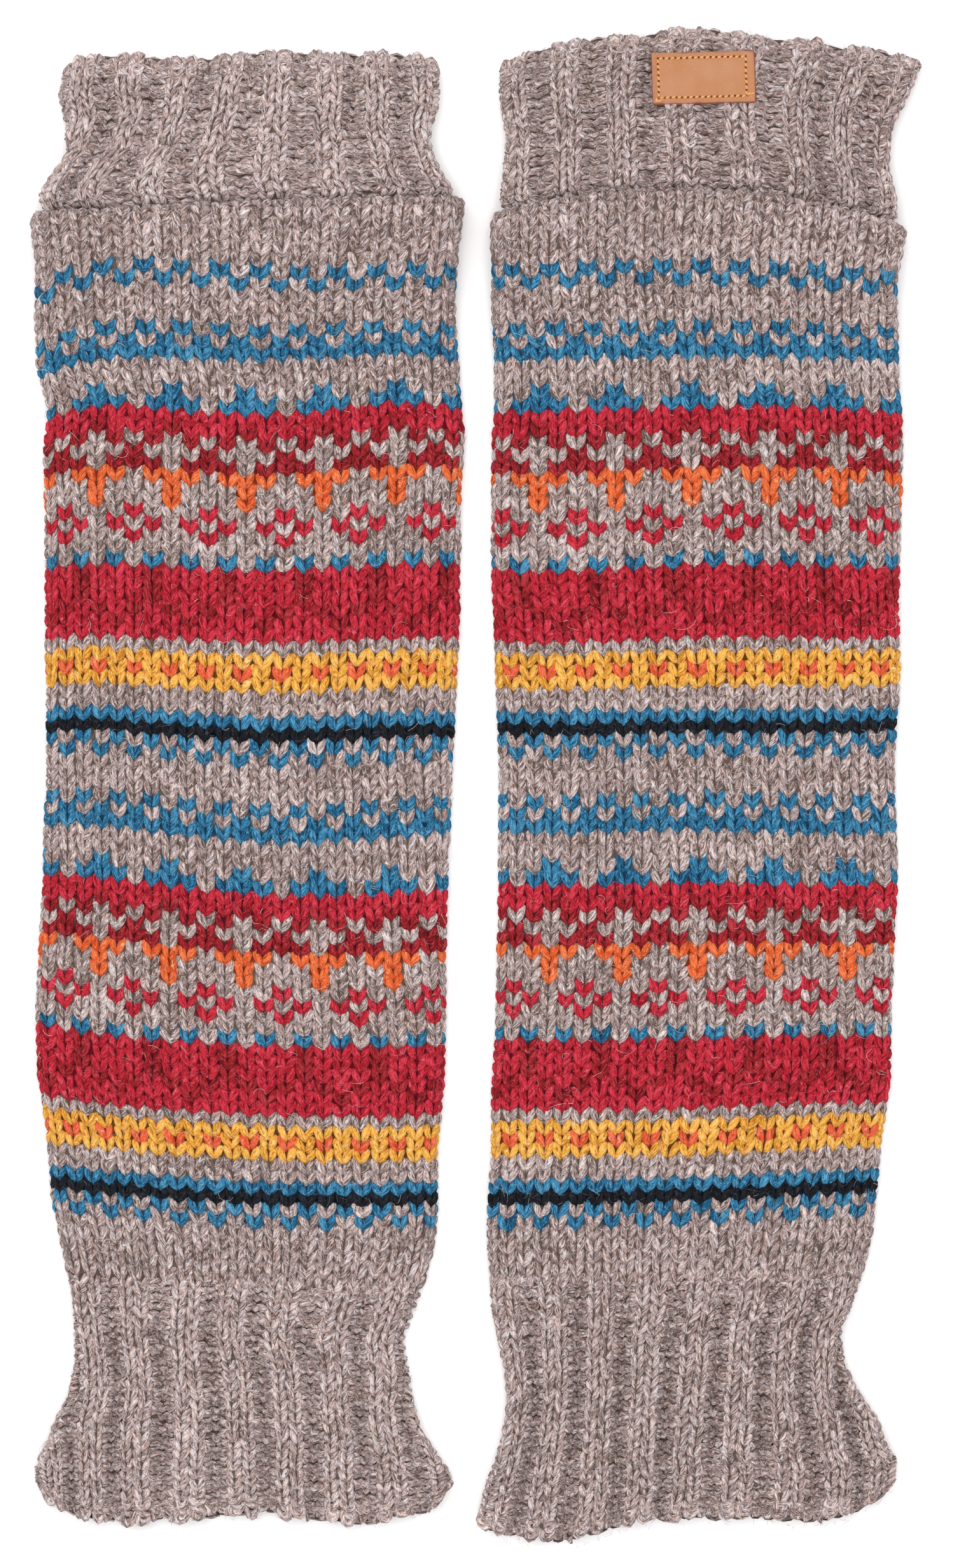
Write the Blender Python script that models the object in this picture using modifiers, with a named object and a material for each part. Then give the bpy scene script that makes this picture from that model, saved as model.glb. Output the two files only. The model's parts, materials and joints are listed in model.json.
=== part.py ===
"""A pair of knitted wool leg warmers, laid flat side by side.

Each leg is one tube knitted in the round, so it has no seam. Three walls stand for it: a stocking
stitch body whose upper end rolls over and tucks inside itself, a ribbed top cuff that comes out of
that fold, and a ribbed bottom cuff that flares to its cast-on edge. The right leg's top cuff
carries a plain leather label. The layers lie on each other, and the underside is flat.

X runs to the right across the pair, Y from the bottom cuffs to the top cuffs, and Z up.
"""

from collections import namedtuple
from math import cos, pi, radians, sin

import bmesh
import bpy
import numpy as np
from mathutils import Matrix, Vector

# Driving dimensions, in millimetres.
BODY_WALL = 3.0
RIB_WALL = 2.8
RIB_RELIEF = 1.2
AIR = 0.3
HEM_DEPTH = 16.0
SCALLOP = 0.8
UNDER_LAYER_REACH = 1.2
LABEL_WIDTH = 36.5
LABEL_HEIGHT = 18.4
LABEL_THICKNESS = 1.5

# How finely a ring is divided along its upper side, its lower side and each side fold.
TOP_STEPS = 14
BOTTOM_STEPS = 8
FOLD_STEPS = 5

METRES = 0.001

# A cross-section of a flattened tube, in millimetres. X and Y count from the pair's centre line
# and from the lowest edge. tilt is how much higher the right end lies than the left, bow how far
# the middle rises above the ends, corner how far the very ends are lifted. floor and crown are
# the lowest and highest cloth. relief scales the ribs, lean slides them from the left fold, edge
# is 1 on a free top edge and -1 on a free bottom edge, and inset moves both side folds inwards.
Section = namedtuple(
    "Section", "y left right tilt bow floor crown relief lean corner edge inset",
    defaults=(1.0, 0.0, 0.0, 0.0, 0.0))

# The roll at the top of a body is 19.4 mm high, because it holds six layers.
LEFT_BODY = [
    # y, left, right, tilt, bow, floor, crown
    Section(94.0, -145.0, -17.5, -3.0, -1.0, 0.0, 6.8),
    Section(106.0, -147.6, -14.5, -4.5, -1.5, 0.0, 7.0),
    Section(118.5, -150.5, -13.3, -6.0, -2.0, 0.0, 7.2),
    Section(140.0, -151.8, -13.4, -5.5, -1.0, 0.0, 7.2),
    Section(162.5, -155.4, -11.0, -5.0, -1.5, 0.0, 7.0),
    Section(185.0, -156.2, -10.2, -4.5, -2.0, 0.0, 7.2),
    Section(207.5, -155.0, -10.5, -4.5, -2.0, 0.0, 7.2),
    Section(230.0, -153.4, -9.6, -4.0, -2.0, 0.0, 7.0),
    Section(275.0, -152.5, -8.0, -1.0, -1.5, 0.0, 7.2),
    Section(320.0, -152.5, -5.6, 2.0, 0.0, 0.0, 7.0),
    Section(365.0, -152.6, -5.0, 5.0, 1.5, 0.0, 7.2),
    Section(387.5, -153.7, -3.6, 6.5, 2.0, 0.0, 7.2),
    Section(405.0, -151.9, -5.5, 8.0, 2.5, 0.0, 7.6),
    Section(419.0, -155.6, -6.4, 8.0, 3.0, 0.0, 8.6),
    Section(436.0, -156.0, -7.1, 7.0, 2.5, 0.0, 13.0),
    Section(453.5, -155.5, -5.9, 6.5, 1.5, 0.0, 19.4),
    Section(469.5, -157.5, -3.7, 6.0, 1.0, 0.0, 19.4),
]

RIGHT_BODY = [
    # y, left, right, tilt, bow, floor, crown
    Section(95.5, 5.0, 137.5, 4.0, -0.5, 0.0, 6.8),
    Section(106.0, 3.7, 140.8, 4.5, -0.5, 0.0, 7.0),
    Section(117.5, 3.7, 141.9, 5.0, -1.0, 0.0, 7.2),
    Section(140.0, 5.3, 143.9, 2.5, -1.0, 0.0, 7.2),
    Section(162.5, 5.5, 147.4, 2.5, -1.0, 0.0, 7.0),
    Section(185.0, 7.0, 147.2, 2.5, -1.0, 0.0, 7.2),
    Section(230.0, 8.0, 149.8, 2.5, -0.5, 0.0, 7.0),
    Section(275.0, 8.2, 148.5, 3.0, -0.5, 0.0, 7.2),
    Section(308.5, 7.0, 151.0, 2.5, 0.0, 0.0, 7.0),
    Section(342.5, 5.5, 150.3, 1.5, 0.5, 0.0, 7.2),
    Section(387.5, 5.7, 151.6, 0.0, 1.5, 0.0, 7.2),
    Section(402.0, 6.5, 151.1, -0.5, 2.5, 0.0, 7.6),
    Section(416.0, 6.7, 150.1, -1.0, 4.0, 0.0, 8.6),
    Section(431.0, 5.6, 149.5, -2.0, 6.0, 0.0, 13.0),
    Section(447.9, 5.7, 149.2, -3.5, 8.5, 0.0, 19.4),
    Section(463.9, 5.0, 152.5, -4.5, 11.0, 0.0, 19.4),
]

LEFT_TOP_RIB = [
    # y, left, right, tilt, bow, floor, crown, relief, lean, corner, edge
    Section(479.5, -154.0, -11.3, 5.5, 1.0, 3.9, 12.1, 1.0, 0.010),
    Section(486.5, -148.8, -14.8, 4.5, 1.0, 2.0, 10.5, 1.0, 0.025),
    Section(493.0, -144.1, -16.2, 4.0, 0.5, 0.8, 9.3, 1.0, 0.040),
    Section(500.0, -145.5, -15.5, 3.0, 0.5, 0.1, 8.5, 1.0, 0.055),
    Section(506.5, -146.8, -12.5, 2.0, 0.0, 0.0, 8.0, 1.0, 0.065),
    Section(513.5, -148.2, -12.5, 1.5, 0.0, 0.0, 7.6, 1.0, 0.075, -2.0),
    Section(524.0, -146.5, -12.8, 1.0, 0.0, 0.0, 6.9, 0.8, 0.080, -3.8, 1.0),
]

RIGHT_TOP_RIB = [
    # y, left, right, tilt, bow, floor, crown, relief, lean, corner, edge
    Section(477.5, 9.4, 148.5, -3.5, 11.0, 2.9, 11.2, 1.0, 0.0),
    Section(486.5, 10.4, 146.0, -3.0, 10.5, 0.9, 9.4, 1.0, 0.0),
    Section(495.5, 11.3, 146.3, -3.0, 10.0, 0.0, 8.4, 1.0, 0.0),
    Section(502.0, 10.0, 147.5, -2.5, 10.0, 0.0, 8.0, 1.0, 0.0),
    Section(509.0, 9.0, 151.4, -2.5, 10.0, 0.0, 7.6, 1.0, 0.0),
    Section(514.5, 9.0, 154.1, -2.0, 10.0, 0.0, 7.3, 1.0, 0.0),
    Section(523.5, 8.8, 157.3, -2.0, 9.0, 0.0, 6.8, 0.8, 0.0, -1.8, 1.0),
]

LEFT_BOTTOM_RIB = [
    # y, left, right, tilt, bow, floor, crown, relief, lean, corner, edge
    Section(5.0, -155.8, -8.5, -1.0, 4.0, 0.0, 6.8, 0.8, 0.0, 15.0, -1.0),
    Section(23.0, -156.4, -9.5, -1.5, 2.5, 0.0, 7.4, 1.0, 0.0, 2.0),
    Section(32.0, -152.7, -14.0, -2.0, 1.5, 0.0, 7.4),
    Section(41.0, -148.8, -20.0, -2.0, 1.0, 0.0, 7.2),
    Section(50.0, -143.9, -22.3, -2.5, 0.5, 0.0, 7.2),
    Section(61.0, -142.2, -22.8, -2.5, 0.0, 0.0, 7.0),
    Section(71.5, -142.7, -25.0, -2.5, 0.0, 0.0, 7.0),
    Section(83.5, -143.5, -21.0, -3.0, -0.5, 0.0, 6.8, 0.9),
    Section(94.0, -145.0, -17.5, -3.0, -1.0, 0.0, 6.8, 0.2),
]

RIGHT_BOTTOM_RIB = [
    # y, left, right, tilt, bow, floor, crown, relief, lean, corner, edge
    Section(4.6, 0.8, 149.0, 12.0, 3.6, 0.0, 6.8, 0.8, 0.0, 11.0, -1.0),
    Section(23.0, 4.5, 149.3, 7.0, 1.5, 0.0, 7.4, 1.0, 0.0, 2.5),
    Section(32.0, 7.2, 144.9, 6.0, 1.0, 0.0, 7.4),
    Section(41.0, 10.0, 141.8, 5.5, 1.0, 0.0, 7.2),
    Section(50.5, 11.5, 135.2, 5.0, 0.5, 0.0, 7.2),
    Section(61.0, 11.0, 130.2, 4.5, 0.0, 0.0, 7.0),
    Section(72.5, 8.5, 130.4, 4.5, 0.0, 0.0, 7.0),
    Section(83.5, 5.8, 135.0, 4.0, -0.5, 0.0, 6.8, 0.9),
    Section(95.5, 5.0, 137.5, 4.0, -0.5, 0.0, 6.8, 0.2),
]

# How far a cuff's free edge lies above its smooth line at places across it, in millimetres.
LEFT_TOP_EDGE = (
    (-145, -135, -124, -111, -104, -97, -90, -77, -57, -50, -43, -23, -16),
    (0.0, 0.9, 0.6, -0.5, -1.3, -1.1, -0.2, 1.0, 0.7, -0.4, 0.0, 0.6, 0.0))
RIGHT_TOP_EDGE = (
    (10, 17, 24, 44, 57, 65, 85, 91, 100, 118, 125, 132, 145, 152),
    (-2.5, -1.3, -0.7, -0.3, -1.4, 0.3, 1.0, -0.6, -1.5, -0.9, -0.8, -1.7, 0.2, 0.7))
LEFT_BOTTOM_EDGE = (
    (-150, -133, -120, -106, -92, -79, -72, -65, -52, -39, -32, -25, -18, -11),
    (0.8, 0.0, -0.7, -0.7, 0.4, 2.2, 2.1, 0.2, -0.2, -1.4, 0.6, 2.0, 0.2, 1.0))
RIGHT_BOTTOM_EDGE = (
    (3, 16, 30, 37, 44, 57, 77, 84, 97, 110, 117, 124, 137, 144),
    (-2.0, -1.3, -2.9, -2.8, -1.4, 0.6, 0.6, -0.6, -0.9, -2.5, -3.4, -2.5, -1.7, 0.4))
SMOOTH_EDGE = ((0,), (0.0,))

# How a top cuff leaves the roll, in millimetres: rise above the roll's centre, how far its side
# folds, its lower face and its upper face lie inside the roll's, and how much of the ribs shows.
Exit = namedtuple("Exit", "rise side below above relief")
LAYERS_ROUND_CUFF = 2 * BODY_WALL + 2 * AIR
CUFF_EXIT = [
    Exit(-HEM_DEPTH, LAYERS_ROUND_CUFF, LAYERS_ROUND_CUFF, LAYERS_ROUND_CUFF, 0.0),
    Exit(0.0, LAYERS_ROUND_CUFF + 0.05, LAYERS_ROUND_CUFF, LAYERS_ROUND_CUFF, 0.0),
    Exit(1.8, 6.35, 6.4, 6.5, 0.2),
    Exit(3.2, 5.2, 6.1, 6.4, 0.5),
    Exit(4.6, 3.8, 5.6, 6.2, 0.8),
]

# Upper-layer stitches of a ribbed cuff: how many, where the first knit pair starts, and the share
# of each repeat of four that its two knit columns take.
RibPlan = namedtuple("RibPlan", "stitches first_knit knit_share")
LEFT_TOP_PLAN = RibPlan(28, -1, 0.54)
RIGHT_TOP_PLAN = RibPlan(28, 0, 0.54)
LEFT_BOTTOM_PLAN = RibPlan(28, 1, 0.64)
RIGHT_BOTTOM_PLAN = RibPlan(30, 0, 0.64)

# The label's centre, in millimetres, and its turn.
LABEL_X = 80.5
LABEL_Y = 517.3
LABEL_TURN = radians(1.5)
LABEL_GRID = (6, 4)


for old in list(bpy.data.objects):
    bpy.data.objects.remove(old, do_unlink=True)

collection = bpy.data.collections.new("leg_warmers")
bpy.context.scene.collection.children.link(collection)


def make_material(name, colour, roughness):
    """A plain surface of one colour."""
    material = bpy.data.materials.new(name)
    material.use_nodes = True
    shader = material.node_tree.nodes["Principled BSDF"]
    shader.inputs["Base Color"].default_value = (*colour, 1.0)
    shader.inputs["Roughness"].default_value = roughness
    material.diffuse_color = (*colour, 1.0)
    return material


def section_at(table, y):
    """The cross-section at a height, read between a table's rows."""
    for low, high in zip(table, table[1:]):
        if low.y <= y <= high.y:
            share = (y - low.y) / (high.y - low.y)
            return Section(*(a + (b - a) * share for a, b in zip(low, high)))
    raise ValueError("no section at this height")


# A place on a ring: which side of the flattened tube, how far along it, and on a knit stitch.
Spot = namedtuple("Spot", "side share knit", defaults=(False,))


def ring_spots(top_spots):
    """All places round a tube, from the upper layer round the right fold and back."""
    right = [Spot("right", k / FOLD_STEPS) for k in range(FOLD_STEPS + 1)]
    bottom = [Spot("bottom", 1 - k / BOTTOM_STEPS) for k in range(1, BOTTOM_STEPS)]
    left = [Spot("left", k / FOLD_STEPS) for k in range(FOLD_STEPS + 1)]
    return top_spots + right + bottom + left


def plain_spots():
    """Evenly spaced places for a smooth upper layer."""
    return ring_spots([Spot("top", k / TOP_STEPS) for k in range(1, TOP_STEPS)])


def rib_spots(plan):
    """One place on each stitch of the upper layer, two knit and two purl by turns."""
    knits = [(k - plan.first_knit) % 4 < 2 for k in range(plan.stitches)]
    widths = [plan.knit_share if knit else 1 - plan.knit_share for knit in knits]
    total = sum(widths)
    spots = []
    passed = 0.0
    for knit, width in zip(knits, widths):
        spots.append(Spot("top", (passed + width / 2) / total, knit))
        passed += width
    return ring_spots(spots)


def section_height(section, x):
    """The height up the leg of a section at a place across it."""
    sway = 2 * (x - section.left) / (section.right - section.left) - 1
    return section.y + section.tilt * sway / 2 + section.bow * (1 - sway**2) + section.corner * sway**8


def spot_point(section, edge_line, spot, depth):
    """A point of the wall, depth millimetres inside its outer face."""
    radius = (section.crown - section.floor) / 2
    reach = radius - depth
    start_x = section.left + section.inset + radius
    end_x = section.right - section.inset - radius
    z = section.floor + radius
    further = 0.0
    if spot.side == "top":
        share = spot.share + section.lean * (1 - spot.share)**2
        x = start_x + (end_x - start_x) * share
        z += reach
        if spot.knit:
            further = SCALLOP * section.edge
            z += RIB_RELIEF * section.relief if depth == 0 else 0.0
    elif spot.side == "bottom":
        x = start_x + (end_x - start_x) * spot.share
        z -= reach
        further = UNDER_LAYER_REACH * section.edge * sin(pi * spot.share)
    else:
        angle = (pi / 2 if spot.side == "right" else -pi / 2) - pi * spot.share
        x = (end_x if spot.side == "right" else start_x) + reach * cos(angle)
        z += reach * sin(angle)
    if section.edge:
        further += np.interp(x, *edge_line)
    return Vector((x, section_height(section, x) + further, z)) * METRES


def make_wall(name, rings, material):
    """A closed wall lofted through rings, the last one joined to the first."""
    bm = bmesh.new()
    loops = [[bm.verts.new(point) for point in ring] for ring in rings]
    for this, following in zip(loops, loops[1:] + loops[:1]):
        for k, vertex in enumerate(this):
            bm.faces.new((this[k - 1], vertex, following[k], following[k - 1]))
    bmesh.ops.recalc_face_normals(bm, faces=bm.faces)
    mesh = bpy.data.meshes.new(name)
    bm.to_mesh(mesh)
    bm.free()
    mesh.shade_smooth()
    mesh.set_sharp_from_angle(angle=radians(50))
    mesh.materials.append(material)
    wall = bpy.data.objects.new(name, mesh)
    collection.objects.link(wall)
    return wall


def rings_for(rows, edge_line, spots):
    """Rings of points from rows of (section, depth)."""
    return [[spot_point(section, edge_line, spot, depth) for spot in spots] for section, depth in rows]


def make_body(name, table, material):
    """A body: a tube whose upper end rolls over and comes back down inside it."""
    bottom = table[0]._replace(y=table[0].y + AIR / 2)
    top = table[-1]
    hem_end = section_at(table, top.y - HEM_DEPTH)
    roll_radius = BODY_WALL + AIR / 2
    hem_outer = 2 * roll_radius
    rows = [(bottom, 0.0)]
    rows += [(section, 0.0) for section in table[1:]]
    for angle in (pi / 4, pi / 2, 3 * pi / 4):
        lifted = top._replace(y=top.y + roll_radius * sin(angle))
        rows.append((lifted, roll_radius * (1 - cos(angle))))
    rows += [(top, hem_outer), (hem_end, hem_outer)]
    rows += [(hem_end, hem_outer - BODY_WALL), (top, hem_outer - BODY_WALL)]
    rows += [(top._replace(y=top.y + AIR / 2), roll_radius)]
    rows += [(section, BODY_WALL) for section in reversed(table[1:])]
    rows.append((bottom, BODY_WALL))
    return make_wall(name, rings_for(rows, SMOOTH_EDGE, plain_spots()), material)


def rib_rows(sections):
    """Outer and inner rows of a cuff, with its free edges rounded."""
    def rounded(section):
        return section._replace(y=section.y + 0.2 * RIB_WALL * section.edge)

    inner = sections[::2] if len(sections) % 2 else sections[:1] + sections[1::2]
    rows = [(section, 0.0) for section in sections]
    if sections[-1].edge:
        rows.append((rounded(sections[-1]), RIB_WALL / 2))
    rows += [(section, RIB_WALL) for section in reversed(inner)]
    if sections[0].edge:
        rows.append((rounded(sections[0]), RIB_WALL / 2))
    return rows


def make_top_rib(name, body_table, table, edge_line, plan, material):
    """A top cuff, which starts level with the body's tucked-in end and comes out over its roll."""
    roll = body_table[-1]
    sections = []
    for step in CUFF_EXIT:
        base = section_at(body_table, roll.y + step.rise) if step.rise <= 0 else roll
        sections.append(base._replace(
            y=roll.y + step.rise, inset=step.side, floor=step.below,
            crown=base.crown - step.above, relief=step.relief))
    rings = rings_for(rib_rows(sections + table), edge_line, rib_spots(plan))
    return make_wall(name, rings, material)


def make_bottom_rib(name, table, edge_line, plan, material):
    """A bottom cuff, which meets the body's lower end."""
    top = table[-1]._replace(y=table[-1].y - AIR / 2)
    rings = rings_for(rib_rows(table[:-1] + [top]), edge_line, rib_spots(plan))
    return make_wall(name, rings, material)


def ridge_height(table, x, y):
    """The height of a cuff's rib ridges at a place on its upper layer."""
    section = table[-1]
    for _ in range(6):
        section = section_at(table, section.y + y - section_height(section, x))
    return section.crown + RIB_RELIEF


def make_label(name, table, material):
    """The leather label, a plate laid on the ridges of the right leg's top cuff."""
    across, up = LABEL_GRID
    bm = bmesh.new()
    bmesh.ops.create_grid(bm, x_segments=across, y_segments=up, size=0.5)
    bmesh.ops.scale(bm, vec=(LABEL_WIDTH, LABEL_HEIGHT, 1.0), verts=bm.verts)
    bmesh.ops.rotate(bm, matrix=Matrix.Rotation(LABEL_TURN, 3, "Z"), verts=bm.verts)
    bmesh.ops.translate(bm, vec=(LABEL_X, LABEL_Y, 0.0), verts=bm.verts)
    for vertex in bm.verts:
        vertex.co.z = ridge_height(table, vertex.co.x, vertex.co.y) + AIR
    bmesh.ops.scale(bm, vec=(METRES,) * 3, verts=bm.verts)
    mesh = bpy.data.meshes.new(name)
    bm.to_mesh(mesh)
    bm.free()
    mesh.materials.append(material)
    label = bpy.data.objects.new(name, mesh)
    collection.objects.link(label)
    thickness = label.modifiers.new("Thickness", "SOLIDIFY")
    thickness.thickness = LABEL_THICKNESS * METRES
    thickness.offset = 1.0
    return label


wool = make_material("heather_wool", (0.36, 0.29, 0.26), 0.95)
leather = make_material("tan_leather", (0.53, 0.22, 0.07), 0.55)

pieces = [
    make_body("left_body", LEFT_BODY, wool),
    make_top_rib("left_top_rib", LEFT_BODY, LEFT_TOP_RIB, LEFT_TOP_EDGE, LEFT_TOP_PLAN, wool),
    make_bottom_rib("left_bottom_rib", LEFT_BOTTOM_RIB, LEFT_BOTTOM_EDGE, LEFT_BOTTOM_PLAN, wool),
    make_body("right_body", RIGHT_BODY, wool),
    make_top_rib("right_top_rib", RIGHT_BODY, RIGHT_TOP_RIB, RIGHT_TOP_EDGE, RIGHT_TOP_PLAN, wool),
    make_bottom_rib(
        "right_bottom_rib", RIGHT_BOTTOM_RIB, RIGHT_BOTTOM_EDGE, RIGHT_BOTTOM_PLAN, wool),
    make_label("label", RIGHT_TOP_RIB, leather),
]

# The pair's origin goes to the middle of the ground it covers.
points = [vertex.co for piece in pieces for vertex in piece.data.vertices]
middle = Vector((
    (min(p.x for p in points) + max(p.x for p in points)) / 2,
    (min(p.y for p in points) + max(p.y for p in points)) / 2,
    0.0))
pair = bpy.data.objects.new("leg_warmer_pair", None)
collection.objects.link(pair)
for piece in pieces:
    piece.location = -middle
    piece.parent = pair
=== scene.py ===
"""A pair of knitted wool leg warmers, laid flat side by side and seen from straight above.

Each leg is one tube of thick wool. Its body is stocking stitch with traditional coloured bands,
its upper end rolls over and tucks inside itself, and a ribbed cuff ends it at the top and at the
bottom. A thin shell of cloth carries the stitches, and each stitch is yarn of its own. The right
leg's top cuff carries a bare leather label.
"""

import json
from collections import namedtuple
from math import cos, pi, radians, sin

import bpy
import numpy as np
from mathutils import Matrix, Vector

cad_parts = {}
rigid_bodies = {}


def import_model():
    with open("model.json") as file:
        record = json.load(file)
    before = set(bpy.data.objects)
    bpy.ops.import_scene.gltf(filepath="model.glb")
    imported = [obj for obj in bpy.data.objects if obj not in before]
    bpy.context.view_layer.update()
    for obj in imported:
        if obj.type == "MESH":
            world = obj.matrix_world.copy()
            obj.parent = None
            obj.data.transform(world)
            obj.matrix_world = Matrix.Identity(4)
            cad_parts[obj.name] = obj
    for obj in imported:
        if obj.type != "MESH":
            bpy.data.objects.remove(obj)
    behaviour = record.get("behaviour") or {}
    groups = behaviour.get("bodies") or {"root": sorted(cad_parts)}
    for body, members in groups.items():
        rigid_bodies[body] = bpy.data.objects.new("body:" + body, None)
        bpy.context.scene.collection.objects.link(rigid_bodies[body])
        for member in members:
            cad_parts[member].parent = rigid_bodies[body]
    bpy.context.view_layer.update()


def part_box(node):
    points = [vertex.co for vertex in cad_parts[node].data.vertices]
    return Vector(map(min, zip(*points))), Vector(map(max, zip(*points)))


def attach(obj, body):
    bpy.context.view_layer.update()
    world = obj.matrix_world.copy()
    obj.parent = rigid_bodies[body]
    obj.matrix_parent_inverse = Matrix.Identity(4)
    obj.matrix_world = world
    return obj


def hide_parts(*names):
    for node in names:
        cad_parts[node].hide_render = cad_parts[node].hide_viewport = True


for old in list(bpy.data.objects):
    bpy.data.objects.remove(old, do_unlink=True)

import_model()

# The camera. It stands straight above the pair, far enough away that nothing leans outwards. The
# photograph's frame covers 338.9 by 554.4 mm of the garments, measured at their upper side.
MM = 0.001
FRAME_HEIGHT = 554.4 * MM
UPPER_SIDE = 7.5 * MM
CAMERA_DISTANCE = 2.4
SENSOR = 24.0

# The tables below count across from the pair's centre line and up from the lowest edge, in
# millimetres. The label's place is known in both, so it gives the step to the frame's origin.
LABEL_CENTRE = (80.5, 517.3)
FRAME_CENTRE = (1.24, 267.75)
FAR_CLIP = 20.0
label_low, label_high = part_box("label")
ORIGIN = np.array([
    (label_low.x + label_high.x) / 2 / MM - LABEL_CENTRE[0],
    (label_low.y + label_high.y) / 2 / MM - LABEL_CENTRE[1],
    0.0])

camera_x = (FRAME_CENTRE[0] + ORIGIN[0]) * MM
camera_y = (FRAME_CENTRE[1] + ORIGIN[1]) * MM
bpy.ops.object.camera_add(location=(camera_x, camera_y, UPPER_SIDE + CAMERA_DISTANCE))
camera = bpy.context.object
camera.data.sensor_fit = "VERTICAL"
camera.data.sensor_height = SENSOR
camera.data.lens = SENSOR * CAMERA_DISTANCE / FRAME_HEIGHT
camera.data.clip_end = FAR_CLIP
bpy.context.scene.camera = camera


# The light and the floor. A big soft box hangs over the head of the table, a weaker one fills
# from the other side, and the floor is a sheet of near-white paper.
def linear(colour):
    """A hex colour turned into linear values for a shader."""
    channels = [int(colour[k:k + 2], 16) / 255 for k in (1, 3, 5)]
    return tuple(c / 12.92 if c <= 0.04045 else ((c + 0.055) / 1.055)**2.4 for c in channels) + (1.0,)


def soft_box(name, location, turn, size, power):
    """A square studio light."""
    bpy.ops.object.light_add(type="AREA", location=location, rotation=turn)
    light = bpy.context.object
    light.name = name
    light.data.shape = "SQUARE"
    light.data.size = size
    light.data.energy = power
    light.data.color = linear("#FFFCF8")[:3]


soft_box("key_light", (-0.3, 0.6, 1.6), (radians(-20), radians(-10), 0), 1.8, 24.0)
soft_box("fill_light", (0.3, -0.8, 1.5), (radians(28), radians(11), 0), 1.6, 11.0)

world = bpy.data.worlds.new("studio_walls")
bpy.context.scene.world = world
world.use_nodes = True
world.node_tree.nodes["Background"].inputs["Color"].default_value = linear("#F6F6F8")
world.node_tree.nodes["Background"].inputs["Strength"].default_value = 0.85
bpy.context.scene.view_settings.view_transform = "Standard"


def new_material(name):
    """An empty material, its node tree and its surface shader."""
    material = bpy.data.materials.new(name)
    material.use_nodes = True
    return material, material.node_tree, material.node_tree.nodes["Principled BSDF"]


def set_inputs(tree, node, inputs):
    """Link a node's inputs to sockets or to other nodes' first outputs, or set them to values."""
    for key, value in inputs.items():
        if isinstance(value, bpy.types.Node):
            value = value.outputs[0]
        if isinstance(value, bpy.types.NodeSocket):
            tree.links.new(value, node.inputs[key])
        else:
            node.inputs[key].default_value = value


def add_node(tree, kind, inputs=None, **settings):
    """A node with its settings and its inputs."""
    node = tree.nodes.new(kind)
    for key, value in settings.items():
        setattr(node, key, value)
    set_inputs(tree, node, inputs or {})
    return node


def set_ramp(ramp, stops):
    """Give a colour ramp its hex colours, each at its place along it."""
    places = sorted(stops)
    elements = ramp.color_ramp.elements
    elements[0].position, elements[1].position = places[0], places[-1]
    for place in places[1:-1]:
        elements.new(place)
    for element, place in zip(elements, places):
        element.color = linear(stops[place])


# White paper, slightly uneven.
paper, tree, shader = new_material("white_paper")
grain = add_node(tree, "ShaderNodeTexNoise", {"Scale": 60.0, "Detail": 4.0})
tone = add_node(tree, "ShaderNodeValToRGB", {"Fac": grain})
set_ramp(tone, {0: "#F4F4F5", 1: "#F9F9FA"})
set_inputs(tree, shader, {"Base Color": tone, "Roughness": 0.8})

bpy.ops.mesh.primitive_plane_add(size=4.0)
floor = bpy.context.object
floor.name = "floor"
floor.data.materials.append(paper)


# The yarns. A thick, hairy single of wool, spun from fibres of many greys for the ground and
# dyed for the bands. Yarn carries its own map in millimetres, along it and round it, and a tone
# for each stitch, so that fibres run with the yarn and no two stitches are alike.

# Locks and single fibres to a millimetre across the yarn, how far both are drawn out along it, how
# fast they climb round it, the fibres' share against the locks', and changes of hue.
LOCKS_PER_MM = 1.2
FIBRES_PER_MM = 2.4
DRAWN_OUT = 0.28
CLIMB = 0.22
FIBRE_SHARE = 1.15
HUES_PER_MM = 0.9
# Loose fibres over the stitches: their bends and their clumps to a metre.
CURLS_PER_METRE = 330.0
CLUMPS_PER_METRE = 520.0


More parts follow.
